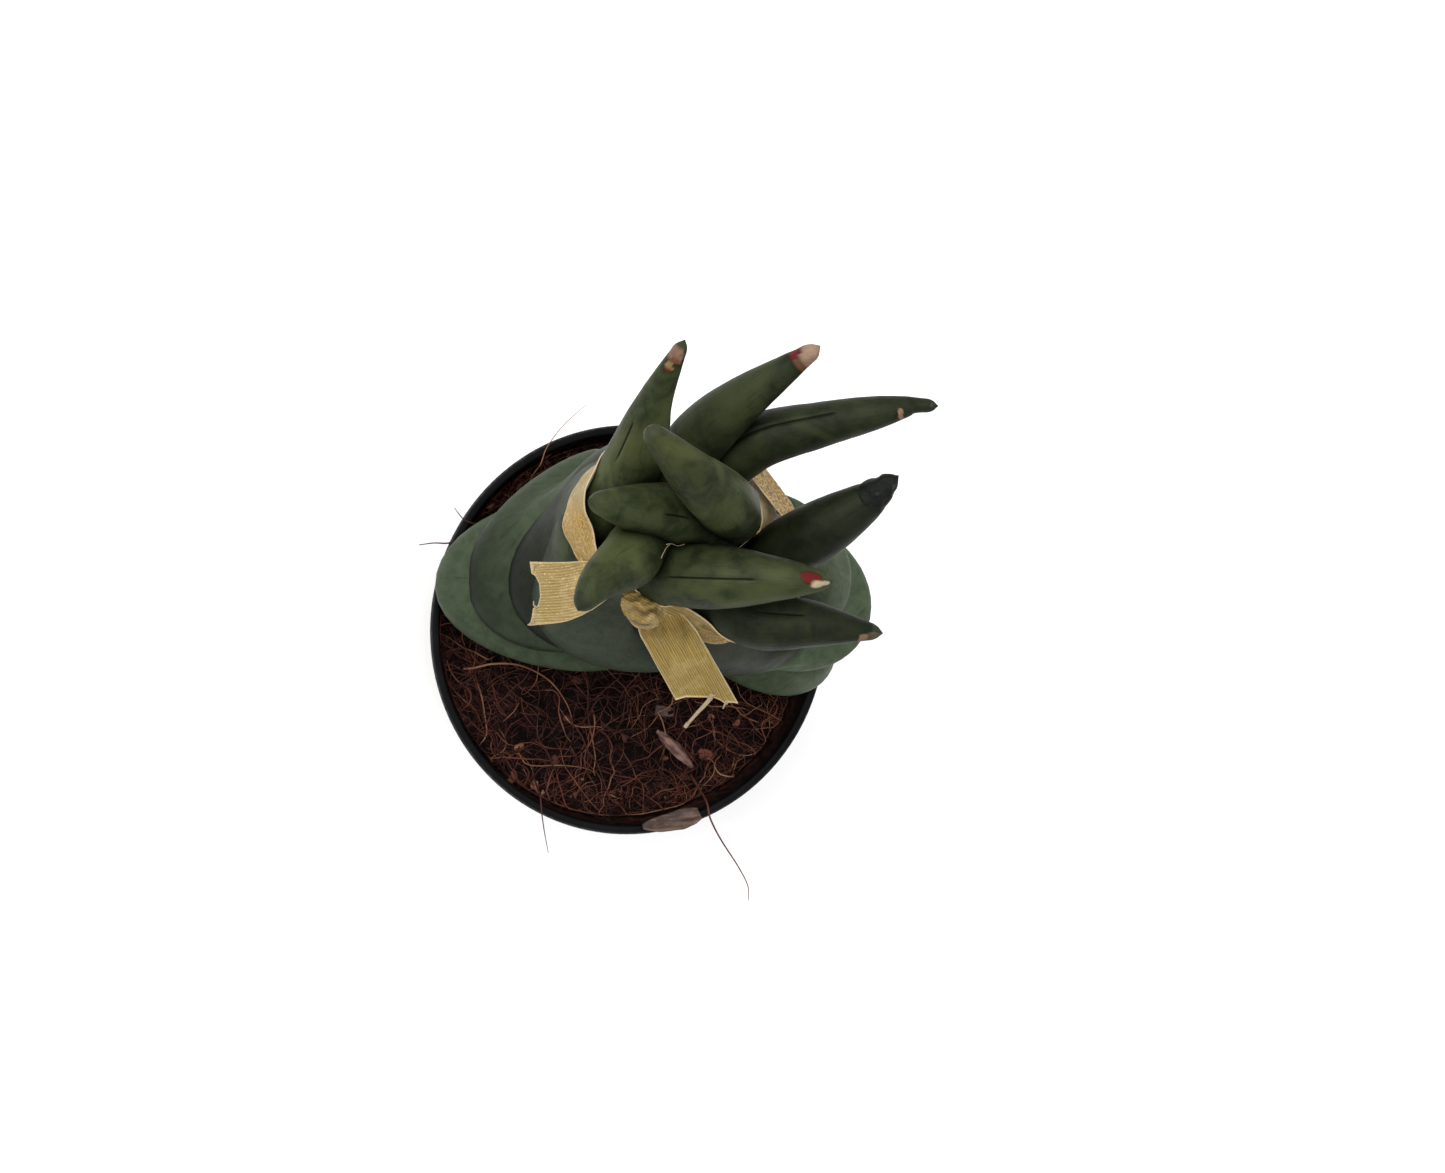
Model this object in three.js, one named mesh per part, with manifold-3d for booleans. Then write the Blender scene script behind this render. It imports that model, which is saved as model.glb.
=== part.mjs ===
// A potted twister cylindrical snake plant, in millimetres, with +Z up.
// The origin is the middle of the pot's flat base.
import * as THREE from "three";
import { mergeVertices } from "three/addons/utils/BufferGeometryUtils.js";
import Module from "manifold-3d";

// Pot
const RIM_RADIUS = 52.5;
const POT_HEIGHT = 90;
const BASE_RADIUS = 37.5;
const WALL = 1.2;
const FLOOR = 2;
const COLLAR_BOTTOM = 78;
const POT_SEGMENTS = 48;
const DRAIN_COUNT = 8;
const DRAIN_RADIUS = 3.6;
const DRAIN_CIRCLE = 27;

// Soil
const SOIL_HEIGHT = 79;
const SOIL_RADIUS = 49.1;
const SOIL_EDGE = 82;
const SOIL_SEGMENTS = 36;
const SOIL_RINGS = 7;
const STRAND_COUNT = 34;
const STRAND_RADIUS = 0.42;

// Ribbon
const RIBBON_WIDTH = 14;
const RIBBON_THICKNESS = 0.8;

// The tie that gathers the leaves: the ring on which their middles stand
const TIE_X = -5.5;
const TIE_Y = 21.5;
const TIE_Z = 155;
const TIE_HALF_X = 20.5;
const TIE_HALF_Y = 13;

const GAP = 0.3;
const SLIVER = 0.04;

// Below this height the sections of the clasping feet lie level; above it they turn square to the leaf.
const LEVEL_TOP = 148;
const LEVEL_FADE = 28;

const wasm = await Module();
wasm.setup();

const rad = (degrees) => (degrees * Math.PI) / 180;

function manifoldOf(geometry) {
  const bare = geometry.clone();
  bare.deleteAttribute("normal");
  bare.deleteAttribute("uv");
  const merged = mergeVertices(bare, 1e-4);
  return new wasm.Manifold(
    new wasm.Mesh({
      numProp: 3,
      vertProperties: new Float32Array(merged.attributes.position.array),
      triVerts: new Uint32Array(merged.index.array),
    }),
  );
}

function geometryOf(solid) {
  const mesh = solid.getMesh();
  const count = mesh.vertProperties.length / mesh.numProp;
  const positions = new Float32Array(count * 3);
  for (let i = 0; i < count; i++) {
    for (let k = 0; k < 3; k++) {
      positions[i * 3 + k] = mesh.vertProperties[i * mesh.numProp + k];
    }
  }
  const geometry = new THREE.BufferGeometry();
  geometry.setAttribute("position", new THREE.BufferAttribute(positions, 3));
  geometry.setIndex(new THREE.BufferAttribute(new Uint32Array(mesh.triVerts), 1));
  return geometry;
}

// Drops the slivers that a cut leaves on a surface.
function tidied(solid) {
  return solid.simplify(SLIVER);
}

function largestBody(solid) {
  const bodies = solid.decompose();
  bodies.sort((a, b) => b.volume() - a.volume());
  return bodies[0];
}

// A smooth curve through rows of numbers, the same for every column.
function smoothRows(rows, perSpan) {
  const first = rows[0].map((v, k) => 2 * v - rows[1][k]);
  const last = rows[rows.length - 1].map((v, k) => 2 * v - rows[rows.length - 2][k]);
  const all = [first, ...rows, last];
  const out = [];
  for (let i = 0; i < rows.length - 1; i++) {
    for (let j = 0; j < perSpan; j++) {
      const t = j / perSpan;
      out.push(
        rows[0].map((_, k) => {
          const [a, b, c, d] = [all[i][k], all[i + 1][k], all[i + 2][k], all[i + 3][k]];
          return 0.5 * (2 * b + (c - a) * t + (2 * a - 5 * b + 4 * c - d) * t * t +
            (3 * b - a - 3 * c + d) * t * t * t);
        }),
      );
    }
  }
  out.push(rows[rows.length - 1].slice());
  return out;
}

// The section of a leaf: a crescent that clasps what it stands round, or an oval when depth is 0.
// Its points run over the back from one margin to the other and return over the front.
// Splay opens its flanks, skew carries both margins to one side, and a grown section has blunt margins.
function leafSection(half, depth, thick, wrap, grow, sides, splay, skew) {
  const back = [];
  const front = [];
  for (let i = 0; i <= sides; i++) {
    const s = -1 + (2 * i) / sides;
    const angle = s * rad(wrap);
    const curl = Math.min(1, depth / (0.25 * half));
    const carried = skew * curl;
    const across = half * (Math.sin(angle) + carried * (1 - Math.cos(angle)));
    const inward = -depth * ((1 - splay) * (1 - Math.cos(angle)) + splay * Math.sin(angle) ** 2);
    let nx = depth * Math.sin(angle) * (1 - splay + 2 * splay * Math.cos(angle));
    let ny = half * (Math.cos(angle) + carried * Math.sin(angle));
    const length = Math.hypot(nx, ny) || 1;
    nx = (nx / length) * curl;
    ny = (ny / length) * curl + (1 - curl);
    const unit = Math.hypot(nx, ny);
    const w = ((thick / 2) * Math.cos((s * Math.PI) / 2) + grow) / unit;
    const wide = across + (s * grow * ny) / unit;
    const deep = inward - (s * grow * nx) / unit;
    back.push([wide + nx * w, deep + ny * w]);
    if (grow > 0 || (i > 0 && i < sides)) front.unshift([wide - nx * w, deep - ny * w]);
  }
  return [...back, ...front];
}

function leafSolid(leaf, grow) {
  const rows = smoothRows(leaf.stations, leaf.perSpan ?? 2);
  const sides = leaf.sides ?? 7;
  const points = rows.map((r) => new THREE.Vector3(r[0], r[1], r[2]));
  const rings = [];
  const tangents = [];
  for (let i = 0; i < rows.length; i++) {
    const before = points[Math.max(i - 1, 0)];
    const after = points[Math.min(i + 1, rows.length - 1)];
    const along = after.clone().sub(before).normalize();
    tangents.push(along);
    const [, , , az, half, depth, thick, wrap] = rows[i];
    const level = Math.min(1, Math.max(0, (LEVEL_TOP - points[i].z) / LEVEL_FADE));
    const normal = along.clone().multiplyScalar(1 - level).add(new THREE.Vector3(0, 0, level));
    normal.normalize();
    const out = new THREE.Vector3(Math.cos(rad(az)), Math.sin(rad(az)), 0);
    out.addScaledVector(normal, -out.dot(normal)).normalize();
    const side = new THREE.Vector3().crossVectors(normal, out);
    const section = leafSection(Math.max(half, 0.5), Math.max(depth, 0), Math.max(thick, 0.8),
      wrap, grow, sides, leaf.splay ?? 0, leaf.skew ?? 0);
    rings.push(section.map(([u, v]) => points[i].clone().addScaledVector(side, u).addScaledVector(out, v)));
  }
  const ringSize = rings[0].length;
  const vertices = rings.flat();
  const start = rings[0].reduce((a, p) => a.add(p), new THREE.Vector3()).divideScalar(ringSize);
  const end = rings.at(-1).reduce((a, p) => a.add(p), new THREE.Vector3()).divideScalar(ringSize);
  end.addScaledVector(tangents.at(-1), 0.6 + grow);
  start.addScaledVector(tangents[0], -grow);
  vertices.push(start, end);
  const faces = [];
  for (let i = 0; i < rings.length - 1; i++) {
    for (let j = 0; j < ringSize; j++) {
      const a = i * ringSize + j;
      const b = i * ringSize + ((j + 1) % ringSize);
      faces.push(a, b + ringSize, a + ringSize, a, b, b + ringSize);
    }
  }
  const top = (rings.length - 1) * ringSize;
  for (let j = 0; j < ringSize; j++) {
    const k = (j + 1) % ringSize;
    faces.push(vertices.length - 2, k, j);
    faces.push(vertices.length - 1, top + j, top + k);
  }
  const flat = new Float32Array(vertices.length * 3);
  vertices.forEach((v, i) => v.toArray(flat, i * 3));
  const solid = new wasm.Manifold(
    new wasm.Mesh({ numProp: 3, vertProperties: flat, triVerts: new Uint32Array(faces) }),
  );
  return solid;
}

// Where a leaf passes through the tie, at an azimuth and a share of the ring's size.
function tieStation(az, share, half, thick, faceAz, z) {
  return [
    TIE_X + TIE_HALF_X * share * Math.cos(rad(az)),
    TIE_Y + TIE_HALF_Y * share * Math.sin(rad(az)),
    z ?? TIE_Z, faceAz ?? az, half, 0, thick, 90,
  ];
}

// Each leaf, from the innermost to the outermost, by stations along its length:
// x, y, z, the way its back faces, half width, depth of the channel, thickness, wrap.
const LEAVES = [
  { name: "leaf_9", stations: [
    [-4, 16, 69, 190, 8, 4, 5, 90],
    [-8, 16, 100, 190, 10, 6, 6, 90],
    [-12, 19, 130, 190, 8, 2, 9, 90],
    [-13, 22.5, 155, 200, 6.2, 0, 12, 90],
    [-18, 21.5, 164, 205, 6.6, 0, 12.5, 90],
    [-24, 17.3, 170.5, 215, 6.2, 0, 12, 90],
    [-31.5, 12, 176, 215, 4.2, 0, 8, 90],
    [-36.3, 6.5, 179, 215, 1.8, 0, 3.6, 90],
  ] },
  { name: "leaf_5", stations: [
    [4, 15, 69, 0, 8, 4, 5, 90],
    [9, 14, 100, 0, 11, 8, 6, 90],
    [9, 18, 130, 0, 8, 3, 9, 90],
    [2, 22.5, 152, 0, 6.2, 0, 12, 90],
    [-3, 25.5, 161, 10, 6.6, 0, 12.6, 90],
    [-14, 27, 168, 10, 6.4, 0, 12.4, 90],
    [-25, 27.8, 174, 10, 4.6, 0, 9, 90],
    [-33.5, 28.8, 177, 10, 1.7, 0, 3.6, 90],
  ] },
  { name: "leaf_1", stations: [
    [0, 25, 69, 90, 10, 2, 5, 90],
    [1, 29, 100, 90, 13, 3, 7, 90],
    [1, 33, 130, 85, 9.5, 2, 9, 90],
    [1, 36, 153, 72, 6, 0, 11.4, 90],
    [8, 43, 163, 80, 6.4, 0, 12.4, 90],
    [20, 46.5, 171, 80, 5.2, 0, 10, 90],
    [30, 48.8, 177, 80, 3.8, 0, 7.4, 90],
    [36, 50, 180, 80, 2.4, 0, 4.8, 90],
    [38, 50.3, 180.7, 80, 1.8, 0, 3.6, 90],
    [42.3, 50.2, 182, 80, 1.5, 0, 3, 90],
  ] },
  { name: "leaf_7", splay: 0.2, stations: [
    [-9, 14, 69, 190, 13, 12, 5, 90],
    [-24, 8, 105, 190, 18.5, 28, 6, 90],
    [-30.5, 7, 124, 190, 19, 30, 7, 90],
    [-27, 12, 140, 205, 12, 6, 9, 90],
    tieStation(228, 1.0, 6.4, 12, 235, 154),
    [-13, 13.6, 161, 250, 6.6, 0, 13, 90],
    [-4, 13.1, 171, 260, 7.2, 0, 14, 90],
    [8, 12.6, 180, 265, 4.8, 0, 9, 90],
    [17.2, 12.1, 184, 265, 1.4, 0, 3.0, 90],
  ] },
  { name: "leaf_4", splay: 0.2, skew: 0.1, stations: [
    [12, 15, 69, -5, 13, 12, 5, 90],
    [29, 10, 104, -14, 19, 27, 6, 90],
    [41, 12, 122, -8, 17.5, 20, 8, 90],
    [36, 14, 130, 2, 13, 9, 8.5, 90],
    [18, 22.5, 141, 10, 8, 2, 9.5, 90],
    [9, 25.5, 152, 28, 6.4, 0, 11.6, 90],
    [4, 27, 163, 35, 7, 0, 13.4, 90],
    [-4, 29, 176, 40, 7, 0, 13.4, 90],
    [-14, 34, 186, 40, 5.4, 0, 10.4, 90],
    [-26, 42.4, 195, 40, 2, 0, 3.8, 90],
  ] },
  { name: "leaf_3", splay: 0.4, skew: -0.2, stations: [
    [-16, 14, 69, 188, 15, 12, 5, 90],
    [-28, 12, 100, 188, 20, 24, 5.5, 90],
    [-34, 11, 113, 188, 21, 26, 6.5, 90],
    [-25, 28, 131, 165, 12.5, 6, 9, 90],
    tieStation(150, 1.05, 6.4, 12, 145, 155),
    [-20.5, 39.5, 166, 120, 6.4, 0, 12.6, 90],
    [-19.5, 50, 177, 110, 3.8, 0, 7.4, 90],
    [-16.5, 61, 188, 110, 1.2, 0, 2.4, 90],
  ] },
  { name: "leaf_6", splay: 0.2, stations: [
    [18, 13, 69, -15, 14, 10, 5, 90],
    [34, 6.5, 98, -18, 16.5, 26, 5.5, 90],
    [44.5, 4.5, 114, -18, 15.5, 29, 6.5, 90],
    [31, 0, 122, -60, 11, 5, 7, 90],
    [22.5, 2, 133, -55, 8.5, 2, 9, 90],
    [17.5, 9.5, 146, -40, 7, 0, 11, 90],
    tieStation(-18, 1.0, 6.6, 12.4, -22, 157),
    [19.6, 22.8, 168, -40, 7, 0, 13.6, 90],
    [27.2, 29, 177, -40, 4.6, 0, 9, 90],
    [32.7, 34.6, 183, -40, 1.5, 0, 3.0, 90],
  ] },
  { name: "leaf_2", splay: 0.2, skew: -0.3, stations: [
    [-23, 13, 69, 188, 17, 12, 5, 90],
    [-34, 13, 90, 185, 21, 28, 5, 90],
    [-42, 13, 106, 182, 23, 32, 6, 90],
    [-15, 40.5, 124, 115, 13, 5, 8, 90],
    tieStation(108, 1.0, 6.4, 12, 108, 154),
    [-5, 44, 163, 110, 6.8, 0, 13, 90],
    [2.5, 52, 172, 110, 5, 0, 9.8, 90],
    [14.5, 61.6, 183.5, 110, 1.5, 0, 3.2, 90],
  ] },
  { name: "leaf_8", skew: 0.1, stations: [
    [24, 11, 69, -20, 15, 10, 5, 90],
    [38, 6, 90, -16, 17, 24, 5, 90],
    [46.5, 4, 106, -16, 18, 25, 5.6, 90],
    [51, 3, 115.5, -15, 18, 25, 6, 90],
    [24, -6.5, 121, -70, 11, 3.5, 6, 90],
    [7, -3.5, 134, -85, 8, 2, 9, 90],
    tieStation(-72, 1.0, 6.4, 12, -72, 153),
    [8, 3.6, 162, -80, 6.8, 0, 13, 90],
    [20, 2.8, 167, -80, 5.0, 0, 10, 90],
    [34.4, 0.8, 170, -80, 1.4, 0, 3.0, 90],
  ] },
  { name: "basal_leaf_left", splay: 0.3, skew: 0.05, stations: [
    [-30, 12, 69, 185, 17, 14, 5, 90],
    [-40, 11.5, 84, 184, 20, 34, 5.5, 90],
    [-45.5, 11, 90.5, 184, 20.5, 38, 5.6, 90],
    [-49, 11, 95.5, 184, 22, 40, 6.5, 90],
    [-48, 12, 100, 184, 17, 31, 5.5, 90],
    [-44.5, 13, 104.5, 184, 8, 12, 2.5, 90],
  ] },
  { name: "basal_leaf_right", splay: 0.1, stations: [
    [30, 10, 69, -25, 14, 10, 5, 90],
    [41, -5, 84, -36, 14.5, 19, 6, 90],
    [47.5, -11, 93, -38, 13.5, 19, 6, 90],
    [47, -9, 101, -38, 8.5, 11, 5, 90],
    [42.5, -7, 107, -36, 2.5, 2, 2, 90],
  ] },
];

// A closed round bar through points, thin at both ends when asked.
function bar(points, radiusAt, sides, perSpan) {
  const rows = smoothRows(points, perSpan);
  const path = rows.map((r) => new THREE.Vector3(r[0], r[1], r[2]));
  const vertices = [];
  const faces = [];
  for (let i = 0; i < path.length; i++) {
    const along = path[Math.min(i + 1, path.length - 1)].clone().sub(path[Math.max(i - 1, 0)]);
    along.normalize();
    const hint = Math.abs(along.z) > 0.9 ? new THREE.Vector3(1, 0, 0) : new THREE.Vector3(0, 0, 1);
    const side = new THREE.Vector3().crossVectors(along, hint).normalize();
    const up = new THREE.Vector3().crossVectors(side, along);
    const radius = radiusAt(i / (path.length - 1));
    for (let j = 0; j < sides; j++) {
      const angle = (2 * Math.PI * j) / sides;
      vertices.push(path[i].clone().addScaledVector(side, radius * Math.cos(angle))
        .addScaledVector(up, radius * Math.sin(angle)));
    }
  }
  for (let i = 0; i < path.length - 1; i++) {
    for (let j = 0; j < sides; j++) {
      const a = i * sides + j;
      const b = i * sides + ((j + 1) % sides);
      faces.push(a, b + sides, b, a, a + sides, b + sides);
    }
  }
  const top = (path.length - 1) * sides;
  for (let j = 1; j < sides - 1; j++) {
    faces.push(0, j, j + 1);
    faces.push(top, top + j + 1, top + j);
  }
  return outward(vertices, faces);
}

// A closed solid from vertices and faces, turned so that its faces point out.
function outward(vertices, faces) {
  const flat = new Float32Array(vertices.length * 3);
  vertices.forEach((v, i) => v.toArray(flat, i * 3));
  const make = (list) =>
    new wasm.Manifold(new wasm.Mesh({ numProp: 3, vertProperties: flat, triVerts: new Uint32Array(list) }));
  const solid = make(faces);
  if (solid.volume() > 0) return solid;
  const turned = [];
  for (let i = 0; i < faces.length; i += 3) turned.push(faces[i], faces[i + 2], faces[i + 1]);
  return make(turned);
}

// A thin closed strip through rows of [x, y, z, wx, wy, wz]: the middle and half of the width.
function strip(rows, thick, perSpan, closed) {
  let all = rows;
  if (closed) all = [rows.at(-1), ...rows, rows[0], rows[1]];
  let smooth = smoothRows(all, perSpan);
  if (closed) smooth = smooth.slice(perSpan, perSpan * (rows.length + 1));
  const n = smooth.length;
  const vertices = [];
  for (let i = 0; i < n; i++) {
    const before = smooth[closed ? (i + n - 1) % n : Math.max(i - 1, 0)];
    const after = smooth[closed ? (i + 1) % n : Math.min(i + 1, n - 1)];
    const along = new THREE.Vector3(after[0] - before[0], after[1] - before[1], after[2] - before[2]);
    const half = new THREE.Vector3(smooth[i][3], smooth[i][4], smooth[i][5]);
    const normal = new THREE.Vector3().crossVectors(along, half).normalize();
    const middle = new THREE.Vector3(smooth[i][0], smooth[i][1], smooth[i][2]);
    for (const [u, v] of [[-1, -1], [-1, 1], [0, 1], [1, 1], [1, -1], [0, -1]]) {
      vertices.push(middle.clone().addScaledVector(half, u).addScaledVector(normal, (v * thick) / 2));
    }
  }
  const faces = [];
  const spans = closed ? n : n - 1;
  for (let i = 0; i < spans; i++) {
    for (let j = 0; j < 6; j++) {
      const a = i * 6 + j;
      const b = i * 6 + ((j + 1) % 6);
      const c = ((i + 1) % n) * 6 + j;
      const d = ((i + 1) % n) * 6 + ((j + 1) % 6);
      faces.push(a, b, d, a, d, c);
    }
  }
  if (!closed) {
    const top = (n - 1) * 6;
    for (let j = 1; j < 5; j++) {
      faces.push(0, j + 1, j);
      faces.push(top, top + j, top + j + 1);
    }
  }
  return outward(vertices, faces);
}

function seeded(seed) {
  let state = seed;
  return () => {
    state = (state * 1664525 + 1013904223) % 4294967296;
    return state / 4294967296;
  };
}

// The soil's uneven top.
function soilTop(x, y) {
  const waves = 0.9 * Math.sin(x * 0.21 + 1.3) * Math.cos(y * 0.17 - 0.4) +
    0.6 * Math.sin(x * 0.43 - y * 0.31 + 2.1) + 0.45 * Math.cos(x * 0.29 + y * 0.52);
  const edge = Math.max(0, Math.hypot(x, y) - 38) / 11;
  return SOIL_HEIGHT + waves + 1.6 * edge * edge;
}

function soilBody() {
  const bottom = FLOOR + GAP;
  const bottomRadius = BASE_RADIUS - WALL - 0.4;
  const vertices = [new THREE.Vector3(0, 0, soilTop(0, 0))];
  for (let i = 1; i <= SOIL_RINGS; i++) {
    for (let j = 0; j < SOIL_SEGMENTS; j++) {
      const angle = (2 * Math.PI * j) / SOIL_SEGMENTS;
      const radius = (SOIL_RADIUS * i) / SOIL_RINGS;
      const x = radius * Math.cos(angle);
      const y = radius * Math.sin(angle);
      vertices.push(new THREE.Vector3(x, y, i === SOIL_RINGS ? SOIL_EDGE : soilTop(x, y)));
    }
  }
  const ledge = [[SOIL_RADIUS - 0.2, COLLAR_BOTTOM + 1.3], [RIM_RADIUS - 5.3, COLLAR_BOTTOM - 0.7]];
  for (const [radius, z] of ledge) {
    for (let j = 0; j < SOIL_SEGMENTS; j++) {
      const angle = (2 * Math.PI * j) / SOIL_SEGMENTS;
      vertices.push(new THREE.Vector3(radius * Math.cos(angle), radius * Math.sin(angle), z));
    }
  }
  for (let j = 0; j < SOIL_SEGMENTS; j++) {
    const angle = (2 * Math.PI * j) / SOIL_SEGMENTS;
    vertices.push(new THREE.Vector3(bottomRadius * Math.cos(angle), bottomRadius * Math.sin(angle), bottom));
  }
  vertices.push(new THREE.Vector3(0, 0, bottom));
  const faces = [];
  const at = (i, j) => 1 + (i - 1) * SOIL_SEGMENTS + (j % SOIL_SEGMENTS);
  for (let j = 0; j < SOIL_SEGMENTS; j++) faces.push(0, at(1, j), at(1, j + 1));
  for (let i = 1; i <= SOIL_RINGS + 2; i++) {
    for (let j = 0; j < SOIL_SEGMENTS; j++) {
      faces.push(at(i, j), at(i + 1, j), at(i + 1, j + 1), at(i, j), at(i + 1, j + 1), at(i, j + 1));
    }
  }
  const last = vertices.length - 1;
  for (let j = 0; j < SOIL_SEGMENTS; j++) faces.push(last, at(SOIL_RINGS + 3, j + 1), at(SOIL_RINGS + 3, j));
  return outward(vertices, faces);
}

// Loose coir strands: each is a short arch whose two ends are sunk in the soil.
function strands() {
  const random = seeded(41);
  const made = [];
  while (made.length < STRAND_COUNT) {
    const radius = 47 * Math.sqrt(random());
    const place = 2 * Math.PI * random();
    let x = radius * Math.cos(place);
    let y = radius * Math.sin(place);
    let heading = 2 * Math.PI * random();
    const bend = (random() - 0.5) * 0.9;
    const step = 2.2 + 3.2 * random();
    const rise = 0.5 + 1.3 * random();
    const points = [];
    let clear = true;
    for (let i = 0; i < 5; i++) {
      const away = Math.hypot((x + 1) / 47, (y - 13) / 28);
      if (away < 1 || Math.hypot(x, y) > 48) clear = false;
      points.push([x, y, soilTop(x, y) + rise * Math.sin((Math.PI * i) / 4) - (i === 0 || i === 4 ? 0.9 : 0)]);
      x += step * Math.cos(heading);
      y += step * Math.sin(heading);
      heading += bend;
    }
    if (clear) made.push(bar(points, () => STRAND_RADIUS, 3, 1));
  }
  return made;
}

// The strands that reach over the rim, and the two long ones that lie on the soil.
const LONG_STRANDS = [
  [[-33, 34.5, 77.5], [-36, 33, 85], [-38.5, 30.3, 90.9], [-43.5, 27.6, 92], [-49.5, 23.8, 92], [-56, 21.9, 91.6]],
  [[-32, 37.5, 77.5], [-34, 36, 85], [-36.3, 33, 91], [-41, 31.8, 92.1], [-47.5, 31, 91.9]],
  [[-26, 36, 77.5], [-25.5, 39.5, 85], [-24.8, 41.9, 90.8], [-23.5, 46, 92], [-19.5, 51.6, 92.8],
    [-13.5, 57, 92.6]],
  [[-24.5, -36.5, 77.5], [-24.6, -39.6, 85], [-24.9, -41.9, 90.8], [-24.8, -46, 92], [-24.2, -50.5, 92.3],
    [-23, -56, 91.4]],
  [[18.5, -38.5, 77.5], [18.8, -42, 85], [19, -44.8, 90.8], [19.6, -49, 92.2], [22.5, -54.5, 92],
    [28, -62, 89.5], [31.5, -67.5, 87], [32.8, -72, 84]],
  [[-45, -9.5, 78.5], [-41, -9.8, 81], [-35, -8.6, 82], [-28, -9.2, 82.4], [-20.5, -13.2, 81.8],
    [-15.4, -20, 80.8], [-13, -27, 77.6]],
  [[-8.8, -19.5, 77.6], [-8.2, -24, 80.4], [-9.6, -30, 80.2], [-13.7, -35, 77.6]],
];

const group = new THREE.Group();
function addMesh(name, geometry, colour, roughness) {
  const material = new THREE.MeshStandardMaterial({ color: colour, roughness });
  const mesh = new THREE.Mesh(geometry, material);
  mesh.name = name;
  group.add(mesh);
}

// The pot: one thin shell turned about the axis, with drain holes round a solid middle.
const stepRadius = RIM_RADIUS - 3.7;
const potProfile = [
  [0, 0], [BASE_RADIUS - 0.6, 0], [BASE_RADIUS, 0.6],
  [stepRadius, COLLAR_BOTTOM - 1.6], [RIM_RADIUS - 2.0, COLLAR_BOTTOM],
  [RIM_RADIUS - 1.3, POT_HEIGHT - 1.9], [RIM_RADIUS - 0.1, POT_HEIGHT - 1.6],
  [RIM_RADIUS, POT_HEIGHT - 0.5], [RIM_RADIUS - 0.5, POT_HEIGHT],
  [RIM_RADIUS - 1.6, POT_HEIGHT], [RIM_RADIUS - 2.3, POT_HEIGHT - 0.6],
  [RIM_RADIUS - 3.1, COLLAR_BOTTOM + 0.8], [stepRadius - WALL, COLLAR_BOTTOM - 1.0],
  [BASE_RADIUS - WALL, FLOOR], [0, FLOOR],
].map(([r, z]) => new THREE.Vector2(r, z));
let pot = manifoldOf(new THREE.LatheGeometry(potProfile, POT_SEGMENTS).rotateX(Math.PI / 2));
for (let i = 0; i < DRAIN_COUNT; i++) {
  const angle = (2 * Math.PI * (i + 0.5)) / DRAIN_COUNT;
  const cutter = new THREE.CylinderGeometry(DRAIN_RADIUS, DRAIN_RADIUS, FLOOR * 4, 14)
    .rotateX(Math.PI / 2)
    .translate(DRAIN_CIRCLE * Math.cos(angle), DRAIN_CIRCLE * Math.sin(angle), 0);
  pot = pot.subtract(manifoldOf(cutter));
}
addMesh("pot", geometryOf(pot), 0x17181b, 0.45);

// The leaves: each outer one is pressed hollow where an inner one stands.
const placed = [];
const feet = [];
for (const leaf of LEAVES) {
  let solid = leafSolid(leaf, 0);
  for (const inner of placed) solid = solid.subtract(inner);
  solid = largestBody(tidied(solid));
  placed.push(leafSolid(leaf, GAP), solid);
  feet.push(leafSolid(leaf, GAP + 0.2).trimByPlane([0, 0, -1], -(SOIL_HEIGHT + 6)));
  addMesh(leaf.name, geometryOf(solid), 0x3a5244, 0.55);
}

// The loose husk on the soil: a papery flake against the wall, a spindle and a chip.
function flakeSolid(grow) {
  const rows = [[-88, 0.5], [-83, 1.7], [-76, 2.2], [-70.5, 1.3]].map(([az, half]) => [
    50.5 * Math.cos(rad(az)), 50.5 * Math.sin(rad(az)), 91.3,
    (half + grow) * Math.cos(rad(az)), (half + grow) * Math.sin(rad(az)), (half + grow) * 0.72,
  ]);
  return strip(rows, 0.9 + 2 * grow, 3, false);
}
const spindleSolid = (grow) =>
  bar([[8.6, -26.8, 80.2], [11.6, -29.8, 80.8], [14.8, -33, 80.6], [18.4, -36.8, 80]],
    (t) => 0.35 + 1.5 * Math.sin(Math.PI * Math.min(0.97, 0.06 + t * 0.9)) + grow, 8, 3);
const chipSolid = (grow) =>
  manifoldOf(new THREE.BoxGeometry(5.2 + 2 * grow, 2.8 + 2 * grow, 1.2 + 2 * grow)
    .rotateX(0.2).rotateZ(-0.15).translate(10.8, -21.7, 80.1));
const husk = [["husk_flake", flakeSolid, 0x5d4034], ["husk_spindle", spindleSolid, 0x8a6a5c],
  ["husk_chip", chipSolid, 0x4a332b]];

let soil = soilBody();
soil = soil.add(wasm.Manifold.union(strands()));
soil = soil.add(wasm.Manifold.union(LONG_STRANDS.map((points) => bar(points, () => STRAND_RADIUS, 4, 2))));
soil = soil.subtract(wasm.Manifold.hull(feet));
for (const [name, make, colour] of husk) {
  soil = soil.subtract(make(GAP));
  addMesh(name, geometryOf(make(0)), colour, 0.9);
}
addMesh("soil", geometryOf(largestBody(soil)), 0x2a1c18, 0.98);

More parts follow.
